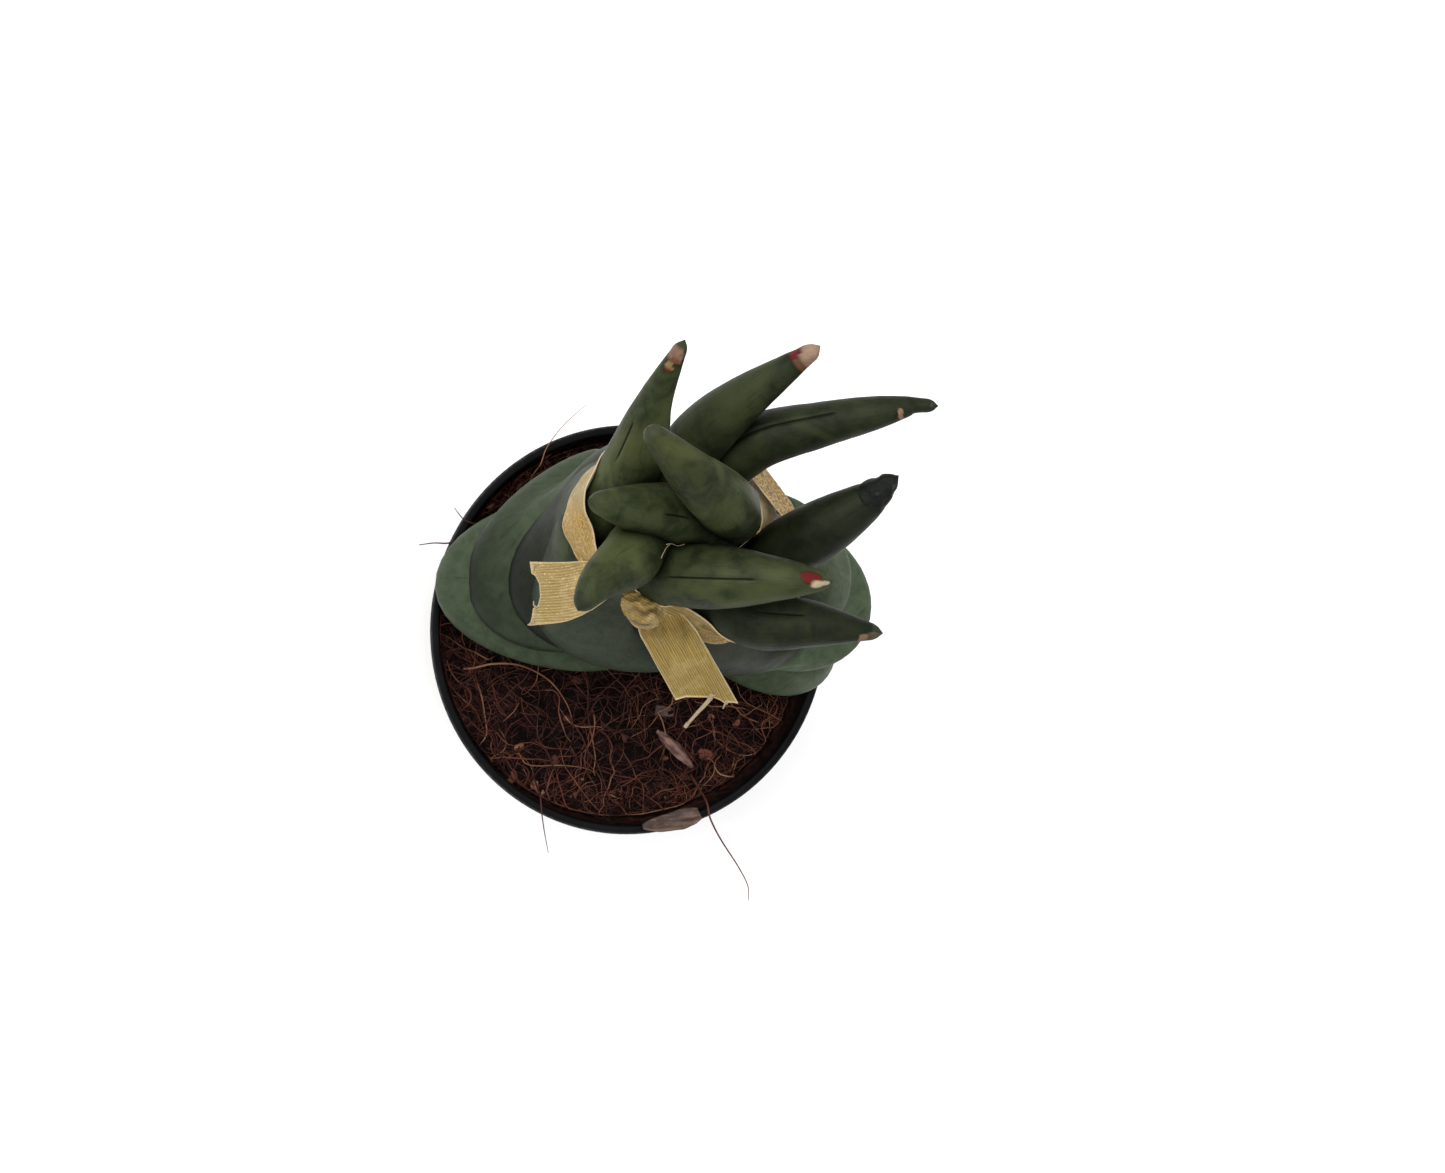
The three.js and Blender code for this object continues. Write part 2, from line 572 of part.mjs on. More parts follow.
// The ribbon: x, y and z of the middle of the band, then how far its lower edge stands out.
const BAND = [
  [21.2, 21.5, 152, 3.0], [19.1, 27.7, 152, 3.8], [15, 33.2, 152, 3.8], [10, 38.3, 152, 3.4],
  [1, 41.8, 154, 1.2], [-13, 42, 155, 0.5], [-25.8, 38, 155, -0.6], [-30.9, 30, 155, 0.3],
  [-30.9, 23, 155, 1.9], [-28.9, 16, 155, 0.4], [-23.4, 9, 155.5, 1.2], [-14.8, 5.2, 156, 1],
  [-4.5, 1.4, 154.6, 1.4], [4, -1.2, 153.4, 1.4], [12.5, 0.8, 152.6, 1.4], [19.6, 6.5, 152, 1.6],
  [22.4, 14, 152, 1.8],
];
const bandRows = BAND.map(([x, y, z, lean]) => {
  const away = new THREE.Vector2(x - TIE_X, y - TIE_Y).normalize();
  const upright = Math.sqrt((RIBBON_WIDTH / 2) ** 2 - lean ** 2);
  return [x, y, z, away.x * -lean, away.y * -lean, upright];
});

// The other pieces of ribbon: x, y and z of the middle, then half of the width as a vector.
const INNER_WRAP = [
  [3, 39, 154, -0.8, -1.2, 6.6], [8.8, 35.4, 153.6, -1.8, -1.4, 6.4], [13.2, 31.6, 153.4, -2.4, -1, 6.3],
  [14.4, 27.6, 153.4, -2.8, 0, 6.2], [12.8, 24.2, 153.6, -2.6, 1.2, 6], [8.6, 21.9, 154, -1.6, 1.6, 5.4],
  [4.5, 20.5, 154, -0.8, 1.8, 3.6],
];
const TAIL_LEFT = [
  [-17.4, 9.6, 158.4, 0.6, 2, 1], [-22, 12.4, 158, 0.4, 3, 0.6], [-28, 11.2, 155.6, 0, 5.4, 0.2],
  [-33.5, 9.9, 153, -0.4, 6.5, 0], [-39.8, 9.5, 150.6, -0.4, 7, 0.2],
];
const TAIL_FRONT = [
  [-14.5, 6.6, 158.6, 3.6, 0.6, 0], [-11.4, 2.2, 157, 6.4, 0.2, 0], [-5.8, -4.8, 151.5, 7.1, -0.3, 0.2],
  [2.6, -14.8, 142.2, 7.5, -0.4, 0],
];
const FOLDED_END = [
  [-15.5, 7, 160.2, 0.8, 2.2, 1], [-10.5, 6.2, 159.2, 0.4, 2.2, -0.2], [-6, 4.8, 157.8, 0.3, 1.9, -0.8],
  [-2.8, 3.3, 156, 0.2, 1.6, -0.8], [1.8, 1.2, 154.6, 0.1, 0.8, -0.4], [5.4, 0.1, 153.6, 0, 0.25, -0.1],
];
const knot = manifoldOf(new THREE.SphereGeometry(1, 14, 9).scale(5.8, 3.4, 3.5).rotateY(0.25)
  .rotateZ(-0.42).translate(-16.6, 6.2, 158.6));
let ribbon = strip(bandRows, RIBBON_THICKNESS, 2, true);
for (const rows of [INNER_WRAP, TAIL_LEFT, TAIL_FRONT, FOLDED_END]) {
  ribbon = ribbon.add(strip(rows, RIBBON_THICKNESS, 3, false));
}
ribbon = ribbon.add(knot);
for (const inner of placed) ribbon = ribbon.subtract(inner);
ribbon = largestBody(tidied(ribbon));
addMesh("ribbon", geometryOf(ribbon), 0xc9a64a, 0.4);

export default group;
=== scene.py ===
"""A potted twister cylindrical snake plant with a gold ribbon round its leaves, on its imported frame."""
from __future__ import annotations

import logging
import math
import random
from dataclasses import dataclass, field
from enum import Enum
from functools import partial
from typing import Callable, Sequence

import bpy
import numpy as np
from mathutils import Matrix, Vector, noise
from mathutils.bvhtree import BVHTree

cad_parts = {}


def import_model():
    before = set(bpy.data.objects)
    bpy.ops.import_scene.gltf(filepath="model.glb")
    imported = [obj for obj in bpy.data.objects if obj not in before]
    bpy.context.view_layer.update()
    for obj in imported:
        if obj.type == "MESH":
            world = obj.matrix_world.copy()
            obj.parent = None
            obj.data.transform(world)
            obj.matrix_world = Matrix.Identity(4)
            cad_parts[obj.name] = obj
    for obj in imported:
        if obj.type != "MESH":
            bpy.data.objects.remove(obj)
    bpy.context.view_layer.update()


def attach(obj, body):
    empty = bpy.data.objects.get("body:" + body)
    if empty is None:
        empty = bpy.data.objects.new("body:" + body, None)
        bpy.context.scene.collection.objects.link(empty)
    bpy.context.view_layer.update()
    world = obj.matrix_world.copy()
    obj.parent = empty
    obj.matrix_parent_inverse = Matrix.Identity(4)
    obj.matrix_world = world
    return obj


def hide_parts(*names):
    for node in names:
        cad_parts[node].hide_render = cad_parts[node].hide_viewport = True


log = logging.getLogger("potted_snake_plant")

MM = 0.001
BODY = "root"
Colour = tuple[float, float, float]
Row = Sequence[float]
Point = tuple[float, float, float]
Faces = list[list[int]]
Solid = tuple[np.ndarray, Faces]


class Field:
    """A socket that takes part in arithmetic, so that node maths reads as an expression."""

    def __init__(self, graph: "Graph", node: bpy.types.Node, socket: bpy.types.NodeSocket) -> None:
        """Wraps one output of a node of the graph."""
        self.graph = graph
        self.node = node
        self.socket = socket

    def output(self, name: str) -> "Field":
        """Another output of the same node."""
        return Field(self.graph, self.node, self.node.outputs[name])

    def __add__(self, other: "Field | float") -> "Field":
        """This plus other."""
        return self.graph.math("ADD", self, other)

    __radd__ = __add__

    def __sub__(self, other: "Field | float") -> "Field":
        """This minus other."""
        return self.graph.math("SUBTRACT", self, other)

    def __rsub__(self, other: float) -> "Field":
        """Other minus this."""
        return self.graph.math("SUBTRACT", other, self)

    def __mul__(self, other: "Field | float") -> "Field":
        """This times other."""
        return self.graph.math("MULTIPLY", self, other)

    __rmul__ = __mul__

    def __truediv__(self, other: "Field | float") -> "Field":
        """This divided by other."""
        return self.graph.math("DIVIDE", self, other)


class Graph:
    """A node tree, of a material or of Geometry Nodes, that is written as expressions."""

    def __init__(self, tree: bpy.types.NodeTree) -> None:
        """Starts on an existing tree."""
        self.tree = tree

    def node(self, kind: str, settings: dict | None = None, inputs: dict | None = None,
             out: str | int = 0) -> Field:
        """Adds any node.

        Args:
            kind: the node's type name.
            settings: its properties, set first; "stops" gives a ramp's (place, colour) pairs.
            inputs: values or links of its sockets, by identifier or name.
            out: the output to return.

        Returns:
            The chosen output.
        """
        made = self.tree.nodes.new(kind)
        for key, value in (settings or {}).items():
            if key == "stops":
                self._set_stops(made.color_ramp, value)
            else:
                setattr(made, key, value)
        for key, value in (inputs or {}).items():
            self._plug(self._socket(made, key), value)
        if not len(made.outputs):
            return Field(self, made, None)
        if isinstance(out, int):
            return Field(self, made, made.outputs[out])
        found = next((s for s in made.outputs if s.identifier == out), None)
        return Field(self, made, found or made.outputs[out])

    @staticmethod
    def _set_stops(ramp: bpy.types.ColorRamp, stops: Sequence[tuple[float, Colour]]) -> None:
        """Gives a colour ramp its stops."""
        while len(ramp.elements) < len(stops):
            ramp.elements.new(1.0)
        for element, (place, colour) in zip(ramp.elements, stops):
            element.position = place
            element.color = (*colour, 1.0)

    @staticmethod
    def _socket(made: bpy.types.Node, key: str) -> bpy.types.NodeSocket:
        """Finds an input by its identifier, and otherwise by its name."""
        for socket in made.inputs:
            if socket.identifier == key:
                return socket
        return made.inputs[key]

    def _plug(self, socket: bpy.types.NodeSocket, value: object) -> None:
        """Links a field to a socket, or sets the socket's own value."""
        if isinstance(value, Field):
            self.tree.links.new(value.socket, socket)
        else:
            socket.default_value = value

    def math(self, operation: str, *values: "Field | float") -> Field:
        """Maths on numbers."""
        inputs = {"Value" if i == 0 else f"Value_{i:03d}": v for i, v in enumerate(values)}
        return self.node("ShaderNodeMath", {"operation": operation}, inputs)

    def vector(self, operation: str, *values: "Field | Point") -> Field:
        """Maths on vectors."""
        inputs = {"Vector" if i == 0 else f"Vector_{i:03d}": v for i, v in enumerate(values)}
        return self.node("ShaderNodeVectorMath", {"operation": operation}, inputs)

    def stretched(self, place: Field, by: Point) -> Field:
        """A place with each of its coordinates multiplied."""
        return self.vector("MULTIPLY", place, by)

    def xyz(self, x: "Field | float" = 0.0, y: "Field | float" = 0.0, z: "Field | float" = 0.0) -> Field:
        """A vector from its coordinates."""
        return self.node("ShaderNodeCombineXYZ", {}, {"X": x, "Y": y, "Z": z})

    def length(self, place: Field) -> Field:
        """How long a vector is."""
        return self.node("ShaderNodeVectorMath", {"operation": "LENGTH"}, {"Vector": place}, "Value")

    def scaled(self, place: Field, by: Field) -> Field:
        """A vector times a number."""
        return self.node("ShaderNodeVectorMath", {"operation": "SCALE"}, {"Vector": place, "Scale": by})

    def mix(self, share: "Field | float", low: "Field | Colour", high: "Field | Colour") -> Field:
        """A colour between two others."""
        low = low if isinstance(low, Field) else (*low, 1.0)
        high = high if isinstance(high, Field) else (*high, 1.0)
        return self.node("ShaderNodeMix", {"data_type": "RGBA"},
                         {"Factor_Float": share, "A_Color": low, "B_Color": high}, "Result_Color")

    def noise(self, place: Field, scale: float, detail: float = 3.0, rough: float = 0.5,
              distortion: float = 0.0) -> Field:
        """Fractal noise from 0 to 1."""
        return self.node("ShaderNodeTexNoise", {},
                         {"Vector": place, "Scale": scale, "Detail": detail, "Roughness": rough,
                          "Distortion": distortion}, "Fac")

    def cells(self, place: Field, scale: float, out: str = "Distance") -> Field:
        """The distance to the nearest of scattered points, or another output of that texture."""
        return self.node("ShaderNodeTexVoronoi", {}, {"Vector": place, "Scale": scale}, out)

    def between(self, value: Field, low: float, high: float) -> Field:
        """A soft step: 0 below low, 1 above high. With low over high it falls instead."""
        return self.node("ShaderNodeMapRange", {"interpolation_type": "SMOOTHSTEP"},
                         {"Value": value, "From Min": low, "From Max": high}, "Result")

    def attribute(self, name: str, out: str = "Fac") -> Field:
        """An attribute of the mesh."""
        return self.node("ShaderNodeAttribute", {"attribute_name": name}, {}, out)

    def place(self) -> Field:
        """The place on the piece, in metres."""
        return self.node("ShaderNodeTexCoord", {}, {}, "Object")


@dataclass(frozen=True)
class Patches:
    """Patches of gloss: noise times its spread is added to the roughness, and drop is taken off."""

    scale: float
    spread: float
    drop: float
    detail: float = 3.0
    rough: float = 0.5


@dataclass(frozen=True)
class Finish:
    """A finish: what every material of the plant has in common."""

    name: str
    roughness: float = 0.5
    bump_depth: float = 0.2 * MM
    specular: float = 0.5
    gloss: Patches = Patches(500.0, 0.3, 0.15)

    def colour(self, g: Graph) -> Field:
        """The colour over the surface."""
        raise NotImplementedError

    def rough(self, g: Graph) -> Field:
        """The roughness over the surface."""
        patches = g.noise(g.place(), self.gloss.scale, self.gloss.detail, self.gloss.rough)
        return patches * self.gloss.spread + (self.roughness - self.gloss.drop)

    def relief(self, g: Graph) -> Field:
        """The height of the fine relief, times the bump depth."""
        raise NotImplementedError

    def constants(self) -> dict:
        """Values that are the same all over the surface, by socket name."""
        return {"Specular IOR Level": self.specular}

    def varying(self, g: Graph) -> dict:
        """More sockets that change over the surface."""
        return {}

    def material(self) -> bpy.types.Material:
        """Builds the material.

        Returns:
            A material with one Principled shader.
        """
        made = bpy.data.materials.new(self.name)
        made.use_nodes = True
        g = Graph(made.node_tree)
        shader = made.node_tree.nodes["Principled BSDF"]
        for key, value in self.constants().items():
            shader.inputs[key].default_value = value
        bump = {"Height": self.relief(g), "Distance": self.bump_depth}
        links = {"Base Color": self.colour(g), "Roughness": self.rough(g), **self.varying(g),
                 "Normal": g.node("ShaderNodeBump", {}, bump, "Normal")}
        for key, value in links.items():
            made.node_tree.links.new(value.socket, shader.inputs[key])
        return made


@dataclass(frozen=True)
class LeafSkin(Finish):
    """Waxy matte leaf skin: olive blades, blue-grey clasping feet, pale thin margins partly painted as
    highlight, dried tips, and painted shade between leaves, on the inner feet and in the groove.
    """

    name: str = "leaf_skin"
    specular: float = 0.09
    gloss: Patches = Patches(240.0, 0.26, 0.13, 4.0)
    deep: Colour = (0.012, 0.018, 0.007)
    olive: Colour = (0.032, 0.040, 0.015)
    light: Colour = (0.060, 0.072, 0.026)
    yellowed: Colour = (0.110, 0.102, 0.034)
    foot: Colour = (0.044, 0.060, 0.034)
    foot_light: Colour = (0.066, 0.090, 0.051)
    margin: Colour = (0.165, 0.185, 0.125)
    # The near-black that painted shade and each blade's own darker tone mix towards.
    crease: Colour = (0.0022, 0.0034, 0.0018)
    speck: Colour = (0.006, 0.015, 0.006)

    def _lines(self, g: Graph, fineness: float, stretch: float, scale: float, *shape: float) -> Field:
        """Noise drawn out along the leaf, from 0 to 1."""
        grain = g.stretched(g.attribute("grain", "Vector"), (fineness, fineness, stretch))
        return g.noise(grain, scale, *shape)

    def _grain(self, g: Graph) -> Field:
        """Faint lines along the leaf, from 0 to 1."""
        return self._lines(g, 1.0, 0.16, 11.0, 4.0, 0.55)

    def _groove(self, g: Graph) -> Field:
        """The thin line of the groove, from 0 to 1."""
        return g.between(g.math("ABSOLUTE", g.attribute("groove")), 0.30, 0.06) * g.attribute("crease")

    def _greens(self, g: Graph, mottle: Field, patch: Field) -> Field:
        """Mottled olive blade and paler foot."""
        blade = g.mix(g.between(mottle, 0.32, 0.66), self.deep, self.olive)
        blade = g.mix(g.between(patch, 0.46, 0.68) * 0.85, blade, self.light)
        yellow = g.between(g.noise(g.stretched(g.place(), (1.0, 1.0, 0.7)), 38.0, 2.0), 0.56, 0.74)
        blade = g.mix(yellow * g.attribute("tan") * 0.6, blade, self.yellowed)
        foot = g.mix(g.between(mottle, 0.3, 0.7), self.foot, self.foot_light)
        return g.mix(g.attribute("foot"), blade, foot)

    def colour(self, g: Graph) -> Field:
        """Greens with specks, painted shade beside the next leaf, on the inner feet and in the groove, pale
        margins partly painted as highlight, and the tip's marks, a few of them painted highlights.
        """
        mottle = g.noise(g.place(), 260.0, 5.0, 0.62, 0.4)
        patch = g.noise(g.place(), 62.0, 3.0, 0.5, 0.8)
        dots = 1.0 - g.between(g.cells(g.place(), 150.0), 0.05, 0.11)
        stripe = g.between(self._lines(g, 2.6, 0.03, 9.0, 2.0), 0.54, 0.66)
        # Painted shade where the leaf lies close against another leaf.
        contact_shade = g.math("POWER", g.attribute("contact_shade"), 1.5)
        skin = self._greens(g, mottle, patch)
        for share, over in (
                (g.between(self._grain(g), 0.56, 0.7) * 0.35, self.speck),
                (dots * g.between(patch, 0.4, 0.6) * 0.55, self.speck),
                (stripe * g.attribute("foot") * 0.28, self.foot_light),
                # Each blade's own darker tone, and painted shade on the feet of the inner sheaths.
                (g.attribute("dim"), self.crease),
                # Painted shade beside the next leaf.
                (contact_shade * 0.92, self.crease),
                # Pale margins, lightened further as a painted highlight on the lit rims.
                (g.attribute("margin") * 0.85, self.margin),
                # Painted shade in the groove.
                (self._groove(g) * 0.95, self.crease)):
            skin = g.mix(share, skin, over)
        tip = g.mix(g.between(mottle, 0.25, 0.75) * 0.45, g.attribute("tint", "Color"), self.deep)
        return g.mix(g.attribute("tinted"), skin, tip)

    def relief(self, g: Graph) -> Field:
        """Fine pores, the lengthwise grain, and wrinkles where the tip has dried."""
        place = g.place()
        wrinkle = g.noise(place, 900.0, 3.0, 0.7) * g.attribute("tinted") * 1.6
        return g.noise(place, 1500.0, 3.0) * 0.25 + self._grain(g) * 0.5 + wrinkle - self._groove(g)


class RibbonFace(Enum):
    """How a piece of ribbon is lit and worn."""

    SATIN = "satin"
    CRUMPLED = "crumpled"


@dataclass(frozen=True)
class RibbonCloth(Finish):
    """Thin gold ribbon: metallic threads woven across fine lengthwise ribs, with a pale cut edge."""

    name: str = "gold_ribbon"
    face: RibbonFace = RibbonFace.SATIN
    roughness: float = 0.46
    bump_depth: float = 0.12 * MM
    specular: float = 0.3
    gold: Colour = (0.275, 0.198, 0.072)
    pale: Colour = (0.440, 0.350, 0.185)
    shade: Colour = (0.185, 0.128, 0.040)
    # Dark brown of the weave's dark cells, and of the painted shade in folds.
    fold: Colour = (0.095, 0.050, 0.008)
    # Cream of the woven edge, and of the painted glints on the threads.
    cream: Colour = (0.560, 0.455, 0.290)
    spark_gold: Colour = (0.440, 0.265, 0.038)
    ribs_per_metre: float = 1600.0

    def _cloth(self, g: Graph) -> Field:
        """The place on the flat cloth: metres across and along."""
        return g.node("ShaderNodeUVMap", {"uv_map": "cloth"}, {}, "UV")

    def _ribs(self, g: Graph, cloth: Field) -> Field:
        """Lengthwise ribs, a little uneven, from 0 to 1."""
        across = g.node("ShaderNodeSeparateXYZ", {}, {"Vector": cloth}, "X")
        uneven = g.noise(g.stretched(cloth, (1.0, 0.12, 1.0)), 900.0, 2.0)
        wave = g.math("SINE", across * (2 * math.pi * self.ribs_per_metre) + uneven * 9.0)
        return wave * 0.3 + uneven * 0.4 + 0.3

    def _weave(self, g: Graph, cloth: Field) -> Field:
        """The crossing threads as small cells, from 0 to 1."""
        return g.cells(g.stretched(cloth, (1900.0, 1500.0, 1.0)), 1.0)

    def colour(self, g: Graph) -> Field:
        """Gold ribs with darker valleys, pale sparks painted as glints off the metallic threads, dark weave
        cells, painted shade in brown where the shade attribute asks, and a pale line at the edges.
        """
        cloth = self._cloth(g)
        glitter = g.attribute("glitter")
        tone = g.mix(g.between(self._ribs(g, cloth), 0.22, 0.72), self.shade, self.gold)
        cloud = g.noise(g.place(), 190.0, 4.0, 0.65)
        tone = g.mix(g.between(cloud, 0.46, 0.70) * 0.45, tone, self.pale)
        weave = self._weave(g, cloth)
        tone = g.mix(glitter * 0.9, tone, self.spark_gold)
        tone = g.mix(g.between(weave, 0.38, 0.60) * (glitter * 0.7 + 0.06), tone, self.fold)
        # Painted glints: pale sparks on the metallic threads where the weave's cells are small.
        spark = g.between(weave, 0.30, 0.08) * g.between(cloud, 0.34, 0.60)
        tone = g.mix(spark * (glitter * 0.75 + 0.12), tone, self.cream)
        # Painted shade in folds, from the shade attribute.
        tone = g.mix(g.attribute("shade") * 0.85, tone, self.fold)
        return g.mix(g.attribute("edge") * 0.7, tone, self.cream)

    def rough(self, g: Graph) -> Field:
        """Sparks are glossier than the cloth between them."""
        return g.between(self._weave(g, self._cloth(g)), 0.0, 0.5) * 0.28 + (self.roughness - 0.14)

    def relief(self, g: Graph) -> Field:
        """Ribs and threads, and crumples where the cloth is tied."""
        cloth = self._cloth(g)
        crumple = g.noise(g.place(), 520.0, 4.0, 0.6)
        lift = 0.5 if self.face is RibbonFace.SATIN else 3.2
        return (self._ribs(g, cloth) * 0.8 + self._weave(g, cloth) * (g.attribute("glitter") * 1.2 + 0.5)
                + crumple * lift)

    def varying(self, g: Graph) -> dict:
        """The threads are metallic, the cut edge isn't."""
        spark = g.between(self._weave(g, self._cloth(g)), 0.45, 0.15)
        return {"Metallic": (spark * 0.4 + 0.12) * (1.0 - g.attribute("edge"))}

    def constants(self) -> dict:
        """A little sheen from loose fibres."""
        return {**super().constants(), "Sheen Weight": 0.03, "Sheen Roughness": 0.4}


@dataclass(frozen=True)
class PotPlastic(Finish):
    """Thin black moulded plastic: a painted highlight along the slightly scuffed lip, and dust from the
    soil on the inside, painted lighter than its shade would leave it.
    """

    name: str = "black_plastic"
    bump_depth: float = 0.05 * MM
    specular: float = 0.06
    gloss: Patches = Patches(340.0, 0.3, 0.12, 5.0, 0.65)
    black: Colour = (0.0016, 0.0015, 0.0018)
    grey: Colour = (0.0040, 0.0040, 0.0047)
    # A painted highlight along the lip, patchy like scuffs.
    worn: Colour = (0.055, 0.056, 0.062)
    # Dust from the soil, painted lighter than the shaded inner wall would show it.
    dust_painted_lit: Colour = (0.060, 0.024, 0.018)
    lip_radius: float = 0.0525
    lip_width: float = 0.0007

    def colour(self, g: Graph) -> Field:
        """Black, with a painted highlight greyer where light catches the lip and patchy like scuffs, and
        dust from the soil inside, painted lighter as if lit.
        """
        place = g.place()
        cloud = g.noise(place, 90.0, 4.0, 0.6)
        tone = g.mix(g.between(cloud, 0.35, 0.75), self.black, self.grey)
        reach = g.length(g.stretched(place, (1.0, 1.0, 0.0)))
        lip = g.between(reach, self.lip_radius - self.lip_width, self.lip_radius - 0.2 * self.lip_width)
        scuff = g.between(g.noise(g.stretched(place, (1.0, 1.0, 3.0)), 700.0, 4.0, 0.7), 0.42, 0.66)
        # Painted highlight along the lip.
        tone = g.mix(lip * (scuff * 0.6 + 0.3), tone, self.worn)
        dusty = g.attribute("inside") * g.between(g.noise(place, 420.0, 5.0, 0.7), 0.36, 0.60)
        # Dust, painted lighter as if lit.
        return g.mix(dusty * 0.85, tone, self.dust_painted_lit)

    def relief(self, g: Graph) -> Field:
        """Faint lines that run round the wall, and a fine grain."""
        place = g.place()
        lines = g.noise(g.stretched(place, (0.05, 0.05, 1.0)), 2600.0, 2.0)
        return lines * 0.7 + g.noise(place, 2400.0, 2.0) * 0.3


@dataclass(frozen=True)
class CoirSoil(Finish):
    """Damp dark coir mix: near-black crumb with reddish shreds."""

    name: str = "coir_soil"
    roughness: float = 0.85
    bump_depth: float = 1.2 * MM
    specular: float = 0.08
    gloss: Patches = Patches(900.0, 0.3, 0.2, 3.0, 0.6)
    black: Colour = (0.0024, 0.0012, 0.0012)
    brown: Colour = (0.0125, 0.0045, 0.0040)
    red: Colour = (0.052, 0.015, 0.0125)

    def colour(self, g: Graph) -> Field:
        """Clumps of black, brown and red, with painted shade black in the hollows."""
        place = g.place()
        clump = g.noise(place, 230.0, 6.0, 0.7, 0.6)
        shred = g.noise(g.stretched(place, (1.0, 2.2, 1.0)), 520.0, 5.0, 0.7, 2.0)
        tone = g.mix(g.between(clump, 0.40, 0.64), self.black, self.brown)
        tone = g.mix(g.between(shred, 0.54, 0.66) * 0.75, tone, self.red)
        # Painted shade in the hollows between the clods.
        return g.mix(g.attribute("hollow_shade") * 0.9, tone, self.black)

    def relief(self, g: Graph) -> Field:
        """Crumbs and shreds."""
        place = g.place()
        return g.noise(place, 520.0, 6.0, 0.72) + g.noise(place, 2000.0, 3.0, 0.7) * 0.4


@dataclass(frozen=True)
class Fibre(Finish):
    """Loose plant fibre. Each strand's tone picks its colour between four stops."""

    name: str = "coir_fibre"
    roughness: float = 0.62
    bump_depth: float = 0.06 * MM
    specular: float = 0.15
    gloss: Patches = Patches(700.0, 0.24, 0.12, 2.0)
    dark: Colour = (0.010, 0.0034, 0.0030)
    middle: Colour = (0.050, 0.0155, 0.0120)
    red: Colour = (0.120, 0.040, 0.025)
    pale: Colour = (0.270, 0.145, 0.080)

    def colour(self, g: Graph) -> Field:
        """The strand's own tone, blotched along it."""
        tone = g.attribute("tone") * 0.8 + g.noise(g.place(), 260.0, 3.0) * 0.4 - 0.1
        stops = [(0.0, self.dark), (0.42, self.middle), (0.72, self.red), (1.0, self.pale)]
        return g.node("ShaderNodeValToRGB", {"stops": stops}, {"Fac": tone}, "Color")

    def relief(self, g: Graph) -> Field:
        """Split fibre."""
        return g.noise(g.place(), 3000.0, 3.0, 0.7)


@dataclass(frozen=True)
class Husk(Finish):
    """Dry husk: papery layers, streaked along their length."""

    name: str = "dry_husk"
    roughness: float = 0.75
    bump_depth: float = 0.35 * MM
    dark: Colour = (0.050, 0.026, 0.020)
    tan: Colour = (0.190, 0.115, 0.086)
    streak_turn: float = 0.0
    streaks: float = 840.0

    def _streak(self, g: Graph) -> Field:
        """Streaks along the piece, from 0 to 1."""
        turned = g.node("ShaderNodeMapping", {},
                        {"Vector": g.place(), "Rotation": (0.0, 0.0, self.streak_turn)})
        return g.noise(g.stretched(turned, (0.12, 1.0, 1.0)), self.streaks, 5.0, 0.65)

    def colour(self, g: Graph) -> Field:
        """Dark and tan streaks, dirtied in patches."""
        tone = g.mix(g.between(self._streak(g), 0.36, 0.64), self.dark, self.tan)
        return g.mix(g.between(g.noise(g.place(), 300.0, 4.0), 0.5, 0.7) * 0.6, tone, self.dark)

    def relief(self, g: Graph) -> Field:
        """Fibrous streaks."""
        return self._streak(g) + g.noise(g.place(), 1800.0, 3.0) * 0.4


def smooth_rows(rows: Sequence[Row], per_span: int) -> np.ndarray:
    """A smooth curve through rows of numbers, the same for every column.

    Args:
        rows: the rows that the curve goes through.
        per_span: how many steps it makes between two rows.

    Returns:
        The finer rows.
    """
    given = np.array(rows, float)
    padded = np.vstack([2 * given[0] - given[1], given, 2 * given[-1] - given[-2]])
    share = np.arange(per_span)[:, None] / per_span
    out = []
    for i in range(len(given) - 1):
        a, b, c, d = padded[i:i + 4]
        out.append(0.5 * (2 * b + (c - a) * share + (2 * a - 5 * b + 4 * c - d) * share ** 2
                          + (3 * b - a - 3 * c + d) * share ** 3))
    out.append(given[-1:])
    return np.vstack(out)


def unit(vectors: np.ndarray) -> np.ndarray:
    """Each row at length 1."""
    length = np.linalg.norm(vectors, axis=-1, keepdims=True)
    return vectors / np.maximum(length, 1e-9)


def across_to(way: np.ndarray, normal: np.ndarray) -> np.ndarray:
    """Each way at right angles to its normal, at length 1."""
    return unit(way - normal * np.sum(way * normal, 1, keepdims=True))


def bumps(place: np.ndarray, scale: float, seed: float = 0.0) -> float:
    """Smooth noise about 0, by place in millimetres.

    Args:
        place: where, in millimetres.
        scale: the size of a bump, in millimetres.
        seed: shifts the pattern.

    Returns:
        A number between about -1 and 1.
    """
    x, y, z = place / scale
    return noise.noise(Vector((x + seed, y - seed, z + 2 * seed)))


def new_object(name: str, data: bpy.types.ID) -> bpy.types.Object:
    """Puts a mesh, a lamp or a camera into the scene."""
    made = bpy.data.objects.new(name, data)
    bpy.context.scene.collection.objects.link(made)
    return made


def add_object(name: str, mesh: bpy.types.Mesh, material: bpy.types.Material) -> bpy.types.Object:
    """Puts a smooth mesh of one material into the scene.

    Args:
        name: the piece's name.
        mesh: its mesh, in place.
        material: its material.

    Returns:
        The new object, at the origin.
    """
    mesh.name = name
    mesh.materials.append(material)
    mesh.polygons.foreach_set("use_smooth", [True] * len(mesh.polygons))
    return new_object(name, mesh)


def mesh_of(vertices: np.ndarray, faces: Sequence[Sequence[int]]) -> bpy.types.Mesh:
    """A mesh from places in millimetres."""
    mesh = bpy.data.meshes.new("mesh")
    mesh.from_pydata((np.asarray(vertices) * MM).tolist(), [], [list(map(int, f)) for f in faces])
    mesh.validate()
    return mesh


